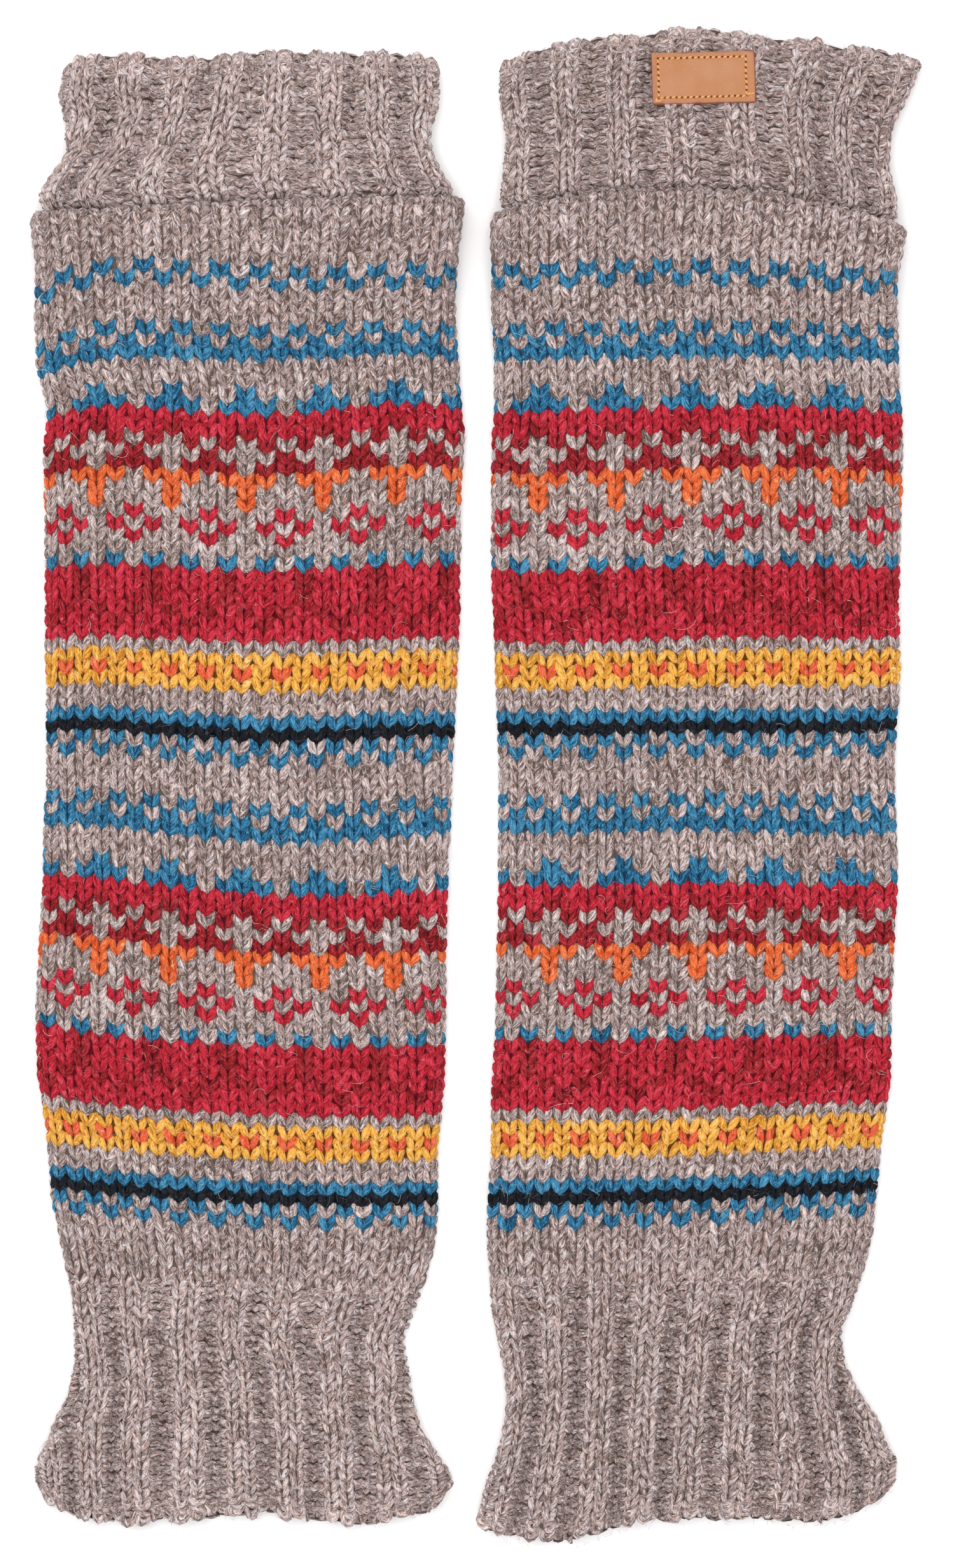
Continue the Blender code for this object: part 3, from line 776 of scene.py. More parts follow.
def shell_piece(name, cloth, dye_of):
    """The thin shell that carries the stitches: its outer face, then its inner one, closed."""
    lowest, highest = cloth.table[0].y - PAST_TABLE, cloth.table[-1].y + PAST_TABLE
    held = (cloth.up[:, 0] > lowest) & (cloth.up[:, 0] < highest)
    rows = np.flatnonzero(held | (cloth.roll > SHELL_SINK + SHELL_WALL))[::ROW_STEPS, None]
    columns = np.arange(0, cloth.stitches * COLUMN_STEPS, COLUMN_STEPS // 2)[None]
    up, share, raised = (grid[rows, columns] for grid in (cloth.up, cloth.share, cloth.raised))
    form = cloth.table, cloth.roll, cloth.edge_line
    outer = lay(*form, up, share, SHELL_SINK - raised)
    inner = lay(*form, up, share, np.maximum(SHELL_SINK - raised, SHELL_SINK) + SHELL_WALL)
    points = np.concatenate([outer, inner[::-1]])
    rings, ring = points.shape[:2]
    i, j = np.meshgrid(np.arange(rings), np.arange(ring), indexing="ij")
    following, beside = (i + 1) % rings, (j + 1) % ring
    faces = np.stack([
        i * ring + j, following * ring + j, following * ring + beside, i * ring + beside], axis=-1)
    shell = to_mesh(name, in_frame(points.reshape(-1, 3)), faces.reshape(-1, 4), backing)
    row = np.round(cloth.first_row + rows[:, 0] / ROW_STEPS).astype(int)
    row = np.concatenate([row, row[::-1]])
    column = np.floor(cloth.first_column + (np.arange(ring) + 1) / 2).astype(int)
    # Each point of the shell gets its yarn's colour darkened as painted shade.
    keep_point_colours(shell, [linear(PAINTED_SHADE_COLOURS[dye_of(a, b)]) for a in row for b in column])
    return shell


# The rows of a body's stitches. Those above FIRST_SEEN_ROW lie inside the tube, and where the
# cloth faces down by more than FACING_DOWN its stitches are simpler ones.
BODY_ROWS = (-12, 85)
FIRST_SEEN_ROW = -9
FACING_DOWN = -0.5


def knit_body(name, cloth, seed):
    """All stitches of a body, one piece for each yarn."""
    rng = np.random.default_rng(seed)
    columns = FIRST_COLUMN + np.arange(BODY_STITCHES)
    row, column = np.meshgrid(np.arange(*BODY_ROWS), columns, indexing="ij")
    row, column = row.ravel(), column.ravel()
    letters = np.array([band_yarn(a, b) for a, b in zip(row, column)])
    row, column = row.astype(float), column.astype(float)
    unseen = (on_cloth(cloth, column, row)[1][:, 2] < FACING_DOWN) | (row < FIRST_SEEN_ROW)
    pieces = []
    for letter, material in YARNS.items():
        copies = []
        for hidden, shape, lower in ((False, BODY_LEG, 0.0), (True, HIDDEN_LEG, HIDDEN_SINK)):
            chosen = (letters == letter) & (unseen == hidden)
            for mirror in (1, -1):
                copies.append(place_yarn(
                    cloth, shape, column[chosen], row[chosen], mirror, rng, lower))
        pieces.append(yarn_piece(f"{name}_{material.name}", copies, material))
    return pieces


LEFT_CREASES = [
    # x, y, length, width, turn, rise
    Crease(-130.0, 428.0, 26.0, 9.0, -30.0, 0.9),
    Crease(-134.0, 409.0, 24.0, 8.0, -36.0, -1.1),
    Crease(-96.0, 447.0, 22.0, 7.0, 12.0, -0.8),
    Crease(-42.0, 437.0, 24.0, 8.0, 24.0, 0.9),
    Crease(-52.0, 386.0, 42.0, 10.0, 82.0, 0.7),
    Crease(-92.0, 344.0, 40.0, 10.0, -14.0, -0.7),
    Crease(-24.0, 318.0, 28.0, 8.0, 66.0, -0.8),
    Crease(-128.0, 276.0, 34.0, 9.0, 100.0, 0.7),
    Crease(-66.0, 246.0, 38.0, 11.0, -18.0, 0.8),
    Crease(-128.0, 208.0, 26.0, 9.0, 28.0, -0.9),
    Crease(-38.0, 196.0, 36.0, 9.0, 94.0, 0.6),
    Crease(-86.0, 160.0, 42.0, 10.0, 8.0, -0.7),
    Crease(-126.0, 120.0, 26.0, 9.0, 62.0, 0.8),
    Crease(-46.0, 116.0, 24.0, 8.0, -50.0, -0.8),
]
LEFT_HIDDEN_CREASES = [
    Crease(-118.0, 398.0, 44.0, 10.0, 74.0, -1.0),
    Crease(-58.0, 352.0, 38.0, 9.0, -22.0, -0.9),
    Crease(-104.0, 292.0, 36.0, 10.0, 16.0, -1.1),
    Crease(-42.0, 250.0, 40.0, 9.0, 98.0, -0.8),
    Crease(-110.0, 196.0, 34.0, 10.0, -28.0, -1.0),
    Crease(-66.0, 136.0, 36.0, 9.0, 40.0, -0.9),
]
left_body_cloth = body_cloth(
    LEFT_BODY, LEFT_PLACES, LEFT_ROWS, LEFT_COLUMNS, LEFT_CREASES, LEFT_HIDDEN_CREASES)
left_body = shell_piece("left_body_cloth", left_body_cloth, band_yarn)
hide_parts("left_body")
left_body_yarns = knit_body("left_body", left_body_cloth, 11)

# The left leg's top cuff. Two by two rib, 56 stitches round, that comes out of the body's roll.
# Its knit ribs lean to the right on the way up, and a bound-off edge of thick loops ends it.
LEFT_TOP_RIB = [
    # y, left, right, tilt, bow, floor, crown, relief, corner, edge
    Section(479.5, -154.0, -11.3, 5.5, 1.0, 3.9, 12.1),
    Section(486.5, -148.8, -14.8, 4.5, 1.0, 2.0, 10.5),
    Section(493.0, -144.1, -16.2, 4.0, 0.5, 0.8, 9.3),
    Section(500.0, -145.5, -15.5, 3.0, 0.5, 0.1, 8.5),
    Section(506.5, -146.8, -12.5, 2.0, 0.0, 0.0, 8.0),
    Section(513.5, -148.2, -12.5, 1.5, 0.0, 0.0, 7.6, 1.0, -2.0),
    Section(524.0, -146.5, -12.8, 1.0, 0.0, 0.0, 6.9, 0.8, -3.8, 1.0),
]

# How a top cuff leaves the roll: rise above the roll's centre, how far its side folds, its lower
# face and its upper face lie inside the roll's, and how much of the ribs shows. It starts in the
# body's tucked-in end, where the body's two layers round it are LAYERS_ROUND_CUFF thick.
Exit = namedtuple("Exit", "rise side below above relief")
HEM_DEPTH = 16.0
LAYERS_ROUND_CUFF = 6.6
CUFF_EXIT = [
    Exit(-HEM_DEPTH, LAYERS_ROUND_CUFF, LAYERS_ROUND_CUFF, LAYERS_ROUND_CUFF, 0.0),
    Exit(0.0, LAYERS_ROUND_CUFF + 0.05, LAYERS_ROUND_CUFF, LAYERS_ROUND_CUFF, 0.0),
    Exit(1.8, 6.35, 6.3, 7.6, 0.2),
    Exit(3.2, 5.2, 6.1, 7.4, 0.5),
    Exit(4.8, 3.8, 5.6, 6.4, 0.9),
]

# A rib plan: stitches round, the first stitch of a knit pair, the share of each repeat that its
# knit pair takes, the height of its first row, the pitch of its rows and how deep its valleys are.
# Then the rows that its cloth and its stitches span, the row of its free edge, and how much paler
# than the body it is.
RibPlan = namedtuple(
    "RibPlan", "stitches first_knit knit_share start pitch depth cloth_rows rows edge_row paler")
LEFT_TOP_PLAN = RibPlan(56, -1, 0.58, 524.0, 3.6, 1.5, (-3.0, 16.0), (0, 16), 0.1, 0.078)
LEFT_TOP_COLUMNS = [
    Columns(1.4, 0, (-139.0, -123.1, -103.0, -86.5, -70.4, -50.9, -35.3, -17.7), 4),
    Columns(5.4, 0, (-138.2, -121.6, -106.5, -88.9, -71.4, -51.9, -34.8, -18.7), 4),
    Columns(9.5, 0, (-144.6, -129.9, -112.5, -94.3, -71.9, -50.9, -32.3, -18.0), 4),
    Columns(12.2, 0, (-149.9, -137.2, -116.3, -94.8, -72.4, -50.9, -30.4, -14.8), 4),
]
RIB_ROLL = 1.5
RIDGE_RISE = 2.4
# In stitches from the middle of a knit pair: where its top ends, and how far its side runs down.
RIDGE_HALF = 1.05
RIDGE_SLOPE = 0.5
REPEAT = 4


def with_exit(body_table, table):
    """The table of a top cuff, from inside the body's roll."""
    roll = body_table[-1]
    exits = []
    for step in CUFF_EXIT:
        base = section_at(body_table, min(roll.y + step.rise, roll.y))
        exits.append(base._replace(
            y=roll.y + step.rise, inset=step.side, floor=base.floor + step.below,
            crown=base.crown - step.above, relief=step.relief))
    return exits + table


def ridge_distance(plan, column):
    """How many stitches a place lies from the middle of the nearest knit pair."""
    return abs((column - plan.first_knit + 1) % REPEAT - REPEAT / 2)


def rib_cloth(table, plan, columns, edge_line):
    """The cloth of a cuff, with its knit ribs raised and its purl valleys sunk."""
    def find_up(row, share):
        """A cuff's rows are evenly spaced."""
        return plan.start - row * plan.pitch

    def find_section(line):
        """The section that a measured row crosses."""
        return section_at(table, plan.start - line.row * plan.pitch)

    plain_share = shares_from(columns, plan.stitches, find_section)

    def find_share(row, column):
        """Knit columns are wider than purl ones, which draw together."""
        repeats = np.floor((column - plan.first_knit + 1) / REPEAT)
        middle = repeats * REPEAT + plan.first_knit + 1
        off = column - middle
        spread = np.interp(off, (-2, -1, 1, 2), (-2, -2 * plan.knit_share, 2 * plan.knit_share, 2))
        return plain_share(row, middle + spread)

    def relief(column, up, x, upwardness):
        """Knit pairs are round-topped ridges, raised only above, where nothing presses them."""
        section = section_at(table, np.clip(up, table[0].y, table[-1].y))
        slope = np.clip((ridge_distance(plan, column) - RIDGE_HALF) / RIDGE_SLOPE, 0, 1)
        ridge = 0.5 + 0.5 * np.cos(pi * slope)
        topness = np.clip(upwardness, 0, 1)
        return section.relief * (RIDGE_RISE * ridge * topness - plan.depth * (1 - ridge))

    return make_cloth(
        table, RIB_ROLL, edge_line, plan.stitches, 0, plan.cloth_rows, find_up, find_share, relief)


def flipped(path, stretch=1.0):
    """A path turned upside down, and drawn out along the leg."""
    return [(across, -stretch * down, out, width, thick) for across, down, out, width, thick in path]


RIB_STITCH = (5.4, 3.65)
RIB_LEG = yarn_shape(LEG_PATH, 4, 4, RIB_STITCH)
HIDDEN_RIB_LEG = yarn_shape(LEG_PATH[::2], 3, 2, RIB_STITCH)
# A purl stitch shows the head of one loop, bent over, and the foot of the next, bent under it.
PURL_STITCH = (4.6, 3.65)
HEAD_PATH = [
    (-0.50, 0.22, -1.6, 0.15, 0.8),
    (-0.26, 0.05, -0.95, 0.22, 1.1),
    (0.0, -0.08, -0.65, 0.25, 1.25),
    (0.26, 0.05, -0.95, 0.22, 1.1),
    (0.50, 0.22, -1.6, 0.15, 0.8),
]
PURL_HEAD, PURL_FOOT = (
    yarn_shape(path, 4, 4, PURL_STITCH) for path in (HEAD_PATH, flipped(HEAD_PATH)))
# A bound-off or cast-on edge is a row of fat loops, one for each stitch, over a chain that lies
# along it: each link is a pair of strands that leave the last link and part round the next.
EDGE_LOOP_PATH = [
    (-0.38, 0.85, -2.0, 0.15, 0.9),
    (-0.36, 0.2, -1.1, 0.19, 1.15),
    (-0.22, -0.14, -0.7, 0.22, 1.3),
    (0.0, -0.25, -0.5, 0.23, 1.4),
    (0.22, -0.14, -0.7, 0.22, 1.3),
    (0.36, 0.2, -1.1, 0.19, 1.15),
    (0.38, 0.85, -2.0, 0.15, 0.9),
]
TOP_LOOP, BOTTOM_LOOP = (
    yarn_shape(path, 5, 6, (5.2, 3.65)) for path in (EDGE_LOOP_PATH, flipped(EDGE_LOOP_PATH)))
CHAIN_PATH = [
    (-0.62, 0.02, -1.9, 0.11, 0.7),
    (-0.30, 0.14, -0.9, 0.19, 1.2),
    (0.04, 0.34, -0.55, 0.235, 1.4),
    (0.36, 0.44, -0.9, 0.21, 1.25),
    (0.66, 0.30, -2.1, 0.12, 0.8),
]
EDGE_CHAIN = [
    yarn_shape(path, 4, 4, (5.0, 3.65)) for path in (CHAIN_PATH, flipped(CHAIN_PATH, 1.15))]
CHAIN_SINK = 0.6
CHAIN_INWARDS = 0.7
EDGE_UNEVEN = 0.12
CHAIN_LEAN = 0.08
# Purl loops get a darker tone as painted shade between the ribs, and knit stitches a paler one as
# painted light on the ribs' tops. Loops lean and wander more than the legs of knit stitches.
PAINTED_PURL_SHADE = 0.03
PAINTED_RIDGE_LIGHT = 0.01
LOOP_LEAN = 0.2
LOOP_UNEVEN = 0.08
FOOT_ASIDE = 0.3


def knit_rib(name, cloth, plan, edge_loop, seed):
    """All stitches of a cuff: knit pairs, purl pairs, and the loops and chain of its free edge."""
    rng = np.random.default_rng(seed)
    row, column = np.meshgrid(np.arange(*plan.rows), np.arange(plan.stitches), indexing="ij")
    row, column = row.ravel().astype(float), column.ravel() + 0.5
    knit = ridge_distance(plan, column) < 1
    facing_down = on_cloth(cloth, column, row)[1][:, 2] < FACING_DOWN
    # The purl loops' tone holds painted shade, and the knit legs' tone painted light.
    purl_tone = plan.paler - PAINTED_PURL_SHADE
    copies = []
    for hidden, shape, lower in ((False, RIB_LEG, 0.0), (True, HIDDEN_RIB_LEG, HIDDEN_SINK)):
        chosen = knit & (facing_down == hidden)
        for mirror in (1, -1):
            copies.append(place_yarn(
                cloth, shape, column[chosen], row[chosen], mirror, rng, lower,
                paler=plan.paler + PAINTED_RIDGE_LIGHT))
    for hidden, lower in ((False, 0.0), (True, HIDDEN_SINK)):
        chosen = ~knit & (facing_down == hidden)
        uneven = row[chosen] + rng.normal(0, LOOP_UNEVEN, chosen.sum())
        copies.append(place_yarn(
            cloth, PURL_HEAD, column[chosen], uneven, 1, rng, lower, LOOP_LEAN, purl_tone))
    # A foot lies between every two purl loops, and beside each knit pair, clear of its ridge.
    between = column - 0.5
    off_ridge = ridge_distance(plan, between)
    beside = (between - plan.first_knit) % REPEAT
    between = between + np.where(beside == 2, FOOT_ASIDE, 0) - np.where(beside == 0, FOOT_ASIDE, 0)
    chosen = (off_ridge >= 1) & ~facing_down
    uneven = row[chosen] + 0.5 + rng.normal(0, LOOP_UNEVEN, chosen.sum())
    copies.append(place_yarn(
        cloth, PURL_FOOT, between[chosen], uneven, 1, rng, lean=LOOP_LEAN, paler=purl_tone))
    links = np.arange(plan.stitches) + 0.5
    along_edge = np.full(len(links), plan.edge_row)
    inwards = CHAIN_INWARDS * np.sign(plan.rows[1] / 2 - plan.edge_row)
    uneven = along_edge + rng.normal(0, EDGE_UNEVEN, len(links))
    copies.append(place_yarn(
        cloth, edge_loop, links, uneven, 1, rng, lean=LOOP_LEAN, paler=plan.paler))
    for shape in EDGE_CHAIN:
        copies.append(place_yarn(
            cloth, shape, links, along_edge + inwards, 1, rng, CHAIN_SINK, CHAIN_LEAN, plan.paler))
    return yarn_piece(name, copies, YARNS["G"])


def plain_dye(row, column):
    """A cuff is grey throughout."""
    return "G"


LEFT_TOP_EDGE = EdgeLine(
    524.0,
    (-145, -135, -124, -111, -104, -97, -90, -77, -57, -50, -43, -23, -16),
    (0.0, 0.9, 0.6, -0.5, -1.3, -1.1, -0.2, 1.0, 0.7, -0.4, 0.0, 0.6, 0.0))
left_top_cloth = rib_cloth(
    with_exit(LEFT_BODY, LEFT_TOP_RIB), LEFT_TOP_PLAN, LEFT_TOP_COLUMNS, LEFT_TOP_EDGE)
left_top_rib = shell_piece("left_top_rib_cloth", left_top_cloth, plain_dye)
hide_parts("left_top_rib")
left_top_yarn = knit_rib("left_top_rib_wool", left_top_cloth, LEFT_TOP_PLAN, TOP_LOOP, 12)

# The left leg's bottom cuff. The same rib, 56 stitches round, drawn in below the body and flaring
# to a scalloped cast-on edge.
LEFT_BOTTOM_RIB = [
    # y, left, right, tilt, bow, floor, crown, relief, corner, edge
    Section(5.3, -155.8, -8.5, -1.0, 4.0, 0.0, 6.8, 0.8, 15.0, -1.0),
    Section(23.0, -156.4, -9.5, -1.5, 2.5, 0.0, 7.4, 1.0, 2.0),
    Section(32.0, -152.7, -14.0, -2.0, 1.5, 0.0, 7.4),
    Section(41.0, -148.8, -20.0, -2.0, 1.0, 0.0, 7.2),
    Section(50.0, -143.9, -22.3, -2.5, 0.5, 0.0, 7.2),
    Section(61.0, -142.2, -22.8, -2.5, 0.0, 0.0, 7.0),
    Section(71.5, -142.7, -25.0, -2.5, 0.0, 0.0, 7.0),
    Section(83.5, -143.5, -21.0, -3.0, -0.5, 0.0, 6.8, 0.7),
    Section(90.5, -144.3, -18.5, -3.0, -1.0, 0.0, 6.8, 0.3),
    Section(94.0, -144.5, -18.5, -3.0, -1.0, 0.8, 6.0, 0.1),
]
LEFT_BOTTOM_PLAN = RibPlan(56, 1, 0.64, 95.4, 3.7, 2.1, (0.0, 27.5), (1, 24), 24.25, 0.062)
LEFT_BOTTOM_COLUMNS = [
    Columns(4.2, 2, (-136.8, -121.3, -102.4, -86.9, -69.6, -49.0, -31.8), 4),
    Columns(10.0, 2, (-134.2, -119.6, -102.4, -84.3, -67.1, -49.8, -32.6), 4),
    Columns(14.7, 2, (-136.5, -121.3, -100.6, -83.4, -66.2, -49.0, -32.6), 4),
    Columns(19.3, -2, (-149.4, -136.4, -121.3, -101.5, -82.6, -66.2, -49.0, -30.0), 4),
]
LEFT_BOTTOM_EDGE = EdgeLine(
    5.3,
    (-150, -133, -120, -106, -92, -79, -72, -65, -52, -39, -32, -25, -18, -11),
    (0.8, 0.0, -0.7, -0.7, 0.4, 2.2, 2.1, 0.2, -0.2, -1.4, 0.6, 2.0, 0.2, 1.0))
left_bottom_cloth = rib_cloth(
    LEFT_BOTTOM_RIB, LEFT_BOTTOM_PLAN, LEFT_BOTTOM_COLUMNS, LEFT_BOTTOM_EDGE)
left_bottom_rib = shell_piece("left_bottom_rib_cloth", left_bottom_cloth, plain_dye)
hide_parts("left_bottom_rib")
left_bottom_yarn = knit_rib(
    "left_bottom_rib_wool", left_bottom_cloth, LEFT_BOTTOM_PLAN, BOTTOM_LOOP, 13)

# The right leg's body. Made as the left one, with its rows and columns where they lie here.
RIGHT_BODY = [
    # y, left, right, tilt, bow, floor, crown
    Section(92.5, 5.0, 137.5, 4.0, -0.5, 0.0, 6.8),
    Section(106.0, 3.7, 140.8, 4.5, -0.5, 0.0, 7.0),
    Section(117.5, 3.7, 141.9, 5.0, -1.0, 0.0, 7.2),
    Section(140.0, 5.3, 143.9, 2.5, -1.0, 0.0, 7.2),
    Section(162.5, 5.5, 147.4, 2.5, -1.0, 0.0, 7.0),
    Section(185.0, 7.0, 147.2, 2.5, -1.0, 0.0, 7.2),
    Section(230.0, 8.0, 149.8, 2.5, -0.5, 0.0, 7.0),
    Section(275.0, 8.2, 148.5, 3.0, -0.5, 0.0, 7.2),
    Section(308.5, 7.0, 151.0, 2.5, 0.0, 0.0, 7.0),
    Section(342.5, 5.5, 150.3, 1.5, 0.5, 0.0, 7.2),
    Section(387.5, 5.7, 151.6, 0.0, 1.5, 0.0, 7.2),
    Section(402.0, 6.5, 151.1, -0.5, 2.5, 0.0, 7.6),
    Section(416.0, 6.7, 150.1, -1.0, 4.0, 0.0, 8.6),
    Section(431.0, 5.6, 149.5, -2.0, 6.0, 0.0, 13.0),
    Section(447.9, 5.7, 149.2, -3.5, 8.5, 0.0, 19.4),
    Section(463.9, 5.0, 152.5, -4.5, 11.0, 0.0, 19.4),
]
RIGHT_PLACES = (11.8, 47.8, 83.8, 119.8, 146.8)
RIGHT_ROWS = {
    1: (444.4, 445.3, 445.7, 443.9, 442.1),
    7: (419.5, 420.4, 420.9, 420.6, 419.2),
    12: (396.9, 398.0, 398.9, 398.7, 396.9),
    27.5: (330.3, 330.6, 332.7, 332.2, 332.1),
    33: (307.7, 307.9, 308.6, 308.6, 309.0),
    40: (279.2, 279.2, 279.8, 279.6, 280.6),
    46: (253.0, 253.2, 253.9, 252.6, 253.1),
    51: (230.0, 229.5, 230.2, 229.7, 230.2),
    66.5: (164.7, 164.4, 165.4, 166.5, 166.3),
    72: (142.1, 142.3, 143.0, 144.8, 145.2),
    79: (112.5, 113.2, 114.5, 116.3, 117.9),
}
RIGHT_COLUMNS = [
    Columns(0.5, 1, (7.5, 19.2, 33.0, 46.2, 59.3, 72.8, 86.1, 100.2, 114.0, 125.9, 139.4)),
    Columns(24, 2, (15.6, 28.9, 43.3, 56.1, 70.1, 84.3, 98.7, 111.3, 123.4, 135.6, 147.9)),
    Columns(40, 1, (14.7, 27.3, 40.2, 52.5, 64.5, 78.0, 91.2, 103.8, 116.4, 129.3)),
    Columns(63, 0, (7.3, 18.8, 31.2, 44.4, 57.5, 71.2, 84.9, 98.9, 112.2, 124.8, 137.8)),
    Columns(79, 1, (11.1, 23.3, 35.7, 48.3, 59.7, 72.6, 86.3, 99.1, 111.7, 124.1, 135.3)),
]
RIGHT_CREASES = [
    # x, y, length, width, turn, rise
    Crease(32.0, 436.0, 26.0, 8.0, 16.0, 0.9),
    Crease(78.0, 424.0, 28.0, 9.0, -12.0, -0.8),
    Crease(122.0, 418.0, 30.0, 9.0, -24.0, -1.0),
    Crease(134.0, 394.0, 24.0, 8.0, 70.0, 0.7),
    Crease(58.0, 372.0, 42.0, 10.0, 84.0, 0.8),
    Crease(104.0, 336.0, 34.0, 10.0, 14.0, -0.8),
    Crease(26.0, 316.0, 28.0, 9.0, -64.0, -0.8),
    Crease(128.0, 282.0, 34.0, 9.0, 80.0, 0.7),
    Crease(64.0, 252.0, 40.0, 10.0, -16.0, 0.8),
    Crease(112.0, 212.0, 30.0, 9.0, 30.0, -0.9),
    Crease(34.0, 192.0, 34.0, 9.0, 96.0, 0.7),
    Crease(84.0, 156.0, 40.0, 10.0, -6.0, -0.7),
    Crease(118.0, 124.0, 24.0, 9.0, -58.0, 0.8),
    Crease(42.0, 116.0, 26.0, 8.0, 46.0, -0.8),
]
RIGHT_HIDDEN_CREASES = [
    Crease(114.0, 404.0, 40.0, 10.0, -70.0, -1.0),
    Crease(52.0, 360.0, 38.0, 9.0, 18.0, -0.9),
    Crease(100.0, 300.0, 38.0, 10.0, -14.0, -1.1),
    Crease(38.0, 258.0, 36.0, 9.0, 84.0, -0.8),
    Crease(108.0, 200.0, 36.0, 10.0, 26.0, -1.0),
    Crease(60.0, 140.0, 34.0, 9.0, -38.0, -0.9),
]
right_body_cloth = body_cloth(
    RIGHT_BODY, RIGHT_PLACES, RIGHT_ROWS, RIGHT_COLUMNS, RIGHT_CREASES, RIGHT_HIDDEN_CREASES)
right_body = shell_piece("right_body_cloth", right_body_cloth, band_yarn)
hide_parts("right_body")
right_body_yarns = knit_body("right_body", right_body_cloth, 21)

# The right leg's top cuff. Its ribs run straight, and its edge rises in the middle.
RIGHT_TOP_RIB = [
    # y, left, right, tilt, bow, floor, crown, relief, corner, edge
    Section(477.5, 9.4, 148.5, -3.5, 11.0, 2.9, 11.2),
    Section(486.5, 10.4, 146.0, -3.0, 10.5, 0.9, 9.4),
    Section(495.5, 11.3, 146.3, -3.0, 10.0, 0.0, 8.4),
    Section(502.0, 10.0, 147.5, -2.5, 10.0, 0.0, 8.0),
    Section(509.0, 9.0, 151.4, -2.5, 10.0, 0.0, 7.6),
    Section(514.5, 9.0, 154.1, -2.0, 10.0, 0.0, 7.3),
    Section(523.5, 8.8, 157.3, -2.0, 9.0, 0.0, 6.8, 0.8, -1.8, 1.0),
]
RIGHT_TOP_PLAN = RibPlan(56, 0, 0.56, 523.5, 3.6, 1.5, (-3.0, 17.0), (0, 17), 0.1, 0.036)
RIGHT_TOP_COLUMNS = [
    Columns(2.0, 1, (12.5, 31.5, 51.5, 73.0, 95.5, 117.0, 134.0, 153.0), 4),
    Columns(12.0, 1, (14.3, 32.3, 51.9, 73.0, 95.1, 115.5, 131.0, 145.6), 4),
]
RIGHT_TOP_EDGE = EdgeLine(
    523.5,
    (10, 17, 24, 44, 57, 65, 85, 91, 100, 118, 125, 132, 145, 152),
    (-2.5, -1.3, -0.7, -0.3, -1.4, 0.3, 1.0, -0.6, -1.5, -0.9, -0.8, -1.7, 0.2, 0.7))
right_top_cloth = rib_cloth(
    with_exit(RIGHT_BODY, RIGHT_TOP_RIB), RIGHT_TOP_PLAN, RIGHT_TOP_COLUMNS, RIGHT_TOP_EDGE)
right_top_rib = shell_piece("right_top_rib_cloth", right_top_cloth, plain_dye)
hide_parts("right_top_rib")
right_top_yarn = knit_rib("right_top_rib_wool", right_top_cloth, RIGHT_TOP_PLAN, TOP_LOOP, 22)

# The right leg's bottom cuff. 60 stitches round, flaring to a cast-on edge that slants.
RIGHT_BOTTOM_RIB = [
    # y, left, right, tilt, bow, floor, crown, relief, corner, edge
    Section(4.0, 0.8, 149.0, 12.0, 3.8, 0.0, 6.8, 0.8, 11.0, -1.0),
    Section(23.0, 4.5, 149.3, 7.0, 1.5, 0.0, 7.4, 1.0, 2.5),
    Section(32.0, 7.2, 144.9, 6.0, 1.0, 0.0, 7.4),
    Section(41.0, 10.0, 141.8, 5.5, 1.0, 0.0, 7.2),
    Section(50.5, 11.5, 135.2, 5.0, 0.5, 0.0, 7.2),
    Section(61.0, 11.0, 130.2, 4.5, 0.0, 0.0, 7.0),
    Section(72.5, 8.5, 130.4, 4.5, 0.0, 0.0, 7.0),
    Section(83.5, 5.8, 135.0, 4.0, -0.5, 0.0, 6.8, 0.7),
    Section(92.5, 5.0, 137.5, 4.0, -0.5, 0.0, 6.8, 0.3),
    Section(96.0, 6.0, 137.2, 4.0, -0.5, 0.8, 6.0, 0.1),
]
RIGHT_BOTTOM_PLAN = RibPlan(60, 0, 0.66, 97.4, 3.7, 2.1, (0.0, 28.0), (1, 25), 24.75, 0.027)
RIGHT_BOTTOM_COLUMNS = [
    Columns(4.4, 1, (11.2, 27.8, 44.7, 61.5, 79.6, 96.9, 113.0, 127.4), 4),
    Columns(9.8, 1, (14.2, 28.0, 43.8, 59.7, 77.2, 94.1, 109.0, 122.2), 4),
    Columns(14.2, 1, (13.5, 27.0, 42.9, 58.3, 75.2, 92.9, 109.0, 123.5, 136.7), 4),
    Columns(18.5, 1, (11.1, 25.0, 42.0, 57.9, 74.4, 91.7, 110.2, 126.2, 141.5), 4),
    Columns(22.4, 1, (7.0, 23.6, 41.5, 57.9, 73.8, 92.4, 111.2, 128.6, 143.5), 4),
]
RIGHT_BOTTOM_EDGE = EdgeLine(
    4.0,
    (3, 16, 30, 37, 44, 57, 77, 84, 97, 110, 117, 124, 137, 144),
    (-2.0, -1.3, -2.9, -2.8, -1.4, 0.6, 0.6, -0.6, -0.9, -2.5, -3.4, -2.5, -1.7, 0.4))
right_bottom_cloth = rib_cloth(
    RIGHT_BOTTOM_RIB, RIGHT_BOTTOM_PLAN, RIGHT_BOTTOM_COLUMNS, RIGHT_BOTTOM_EDGE)
right_bottom_rib = shell_piece("right_bottom_rib_cloth", right_bottom_cloth, plain_dye)
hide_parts("right_bottom_rib")
right_bottom_yarn = knit_rib(
    "right_bottom_rib_wool", right_bottom_cloth, RIGHT_BOTTOM_PLAN, BOTTOM_LOOP, 23)

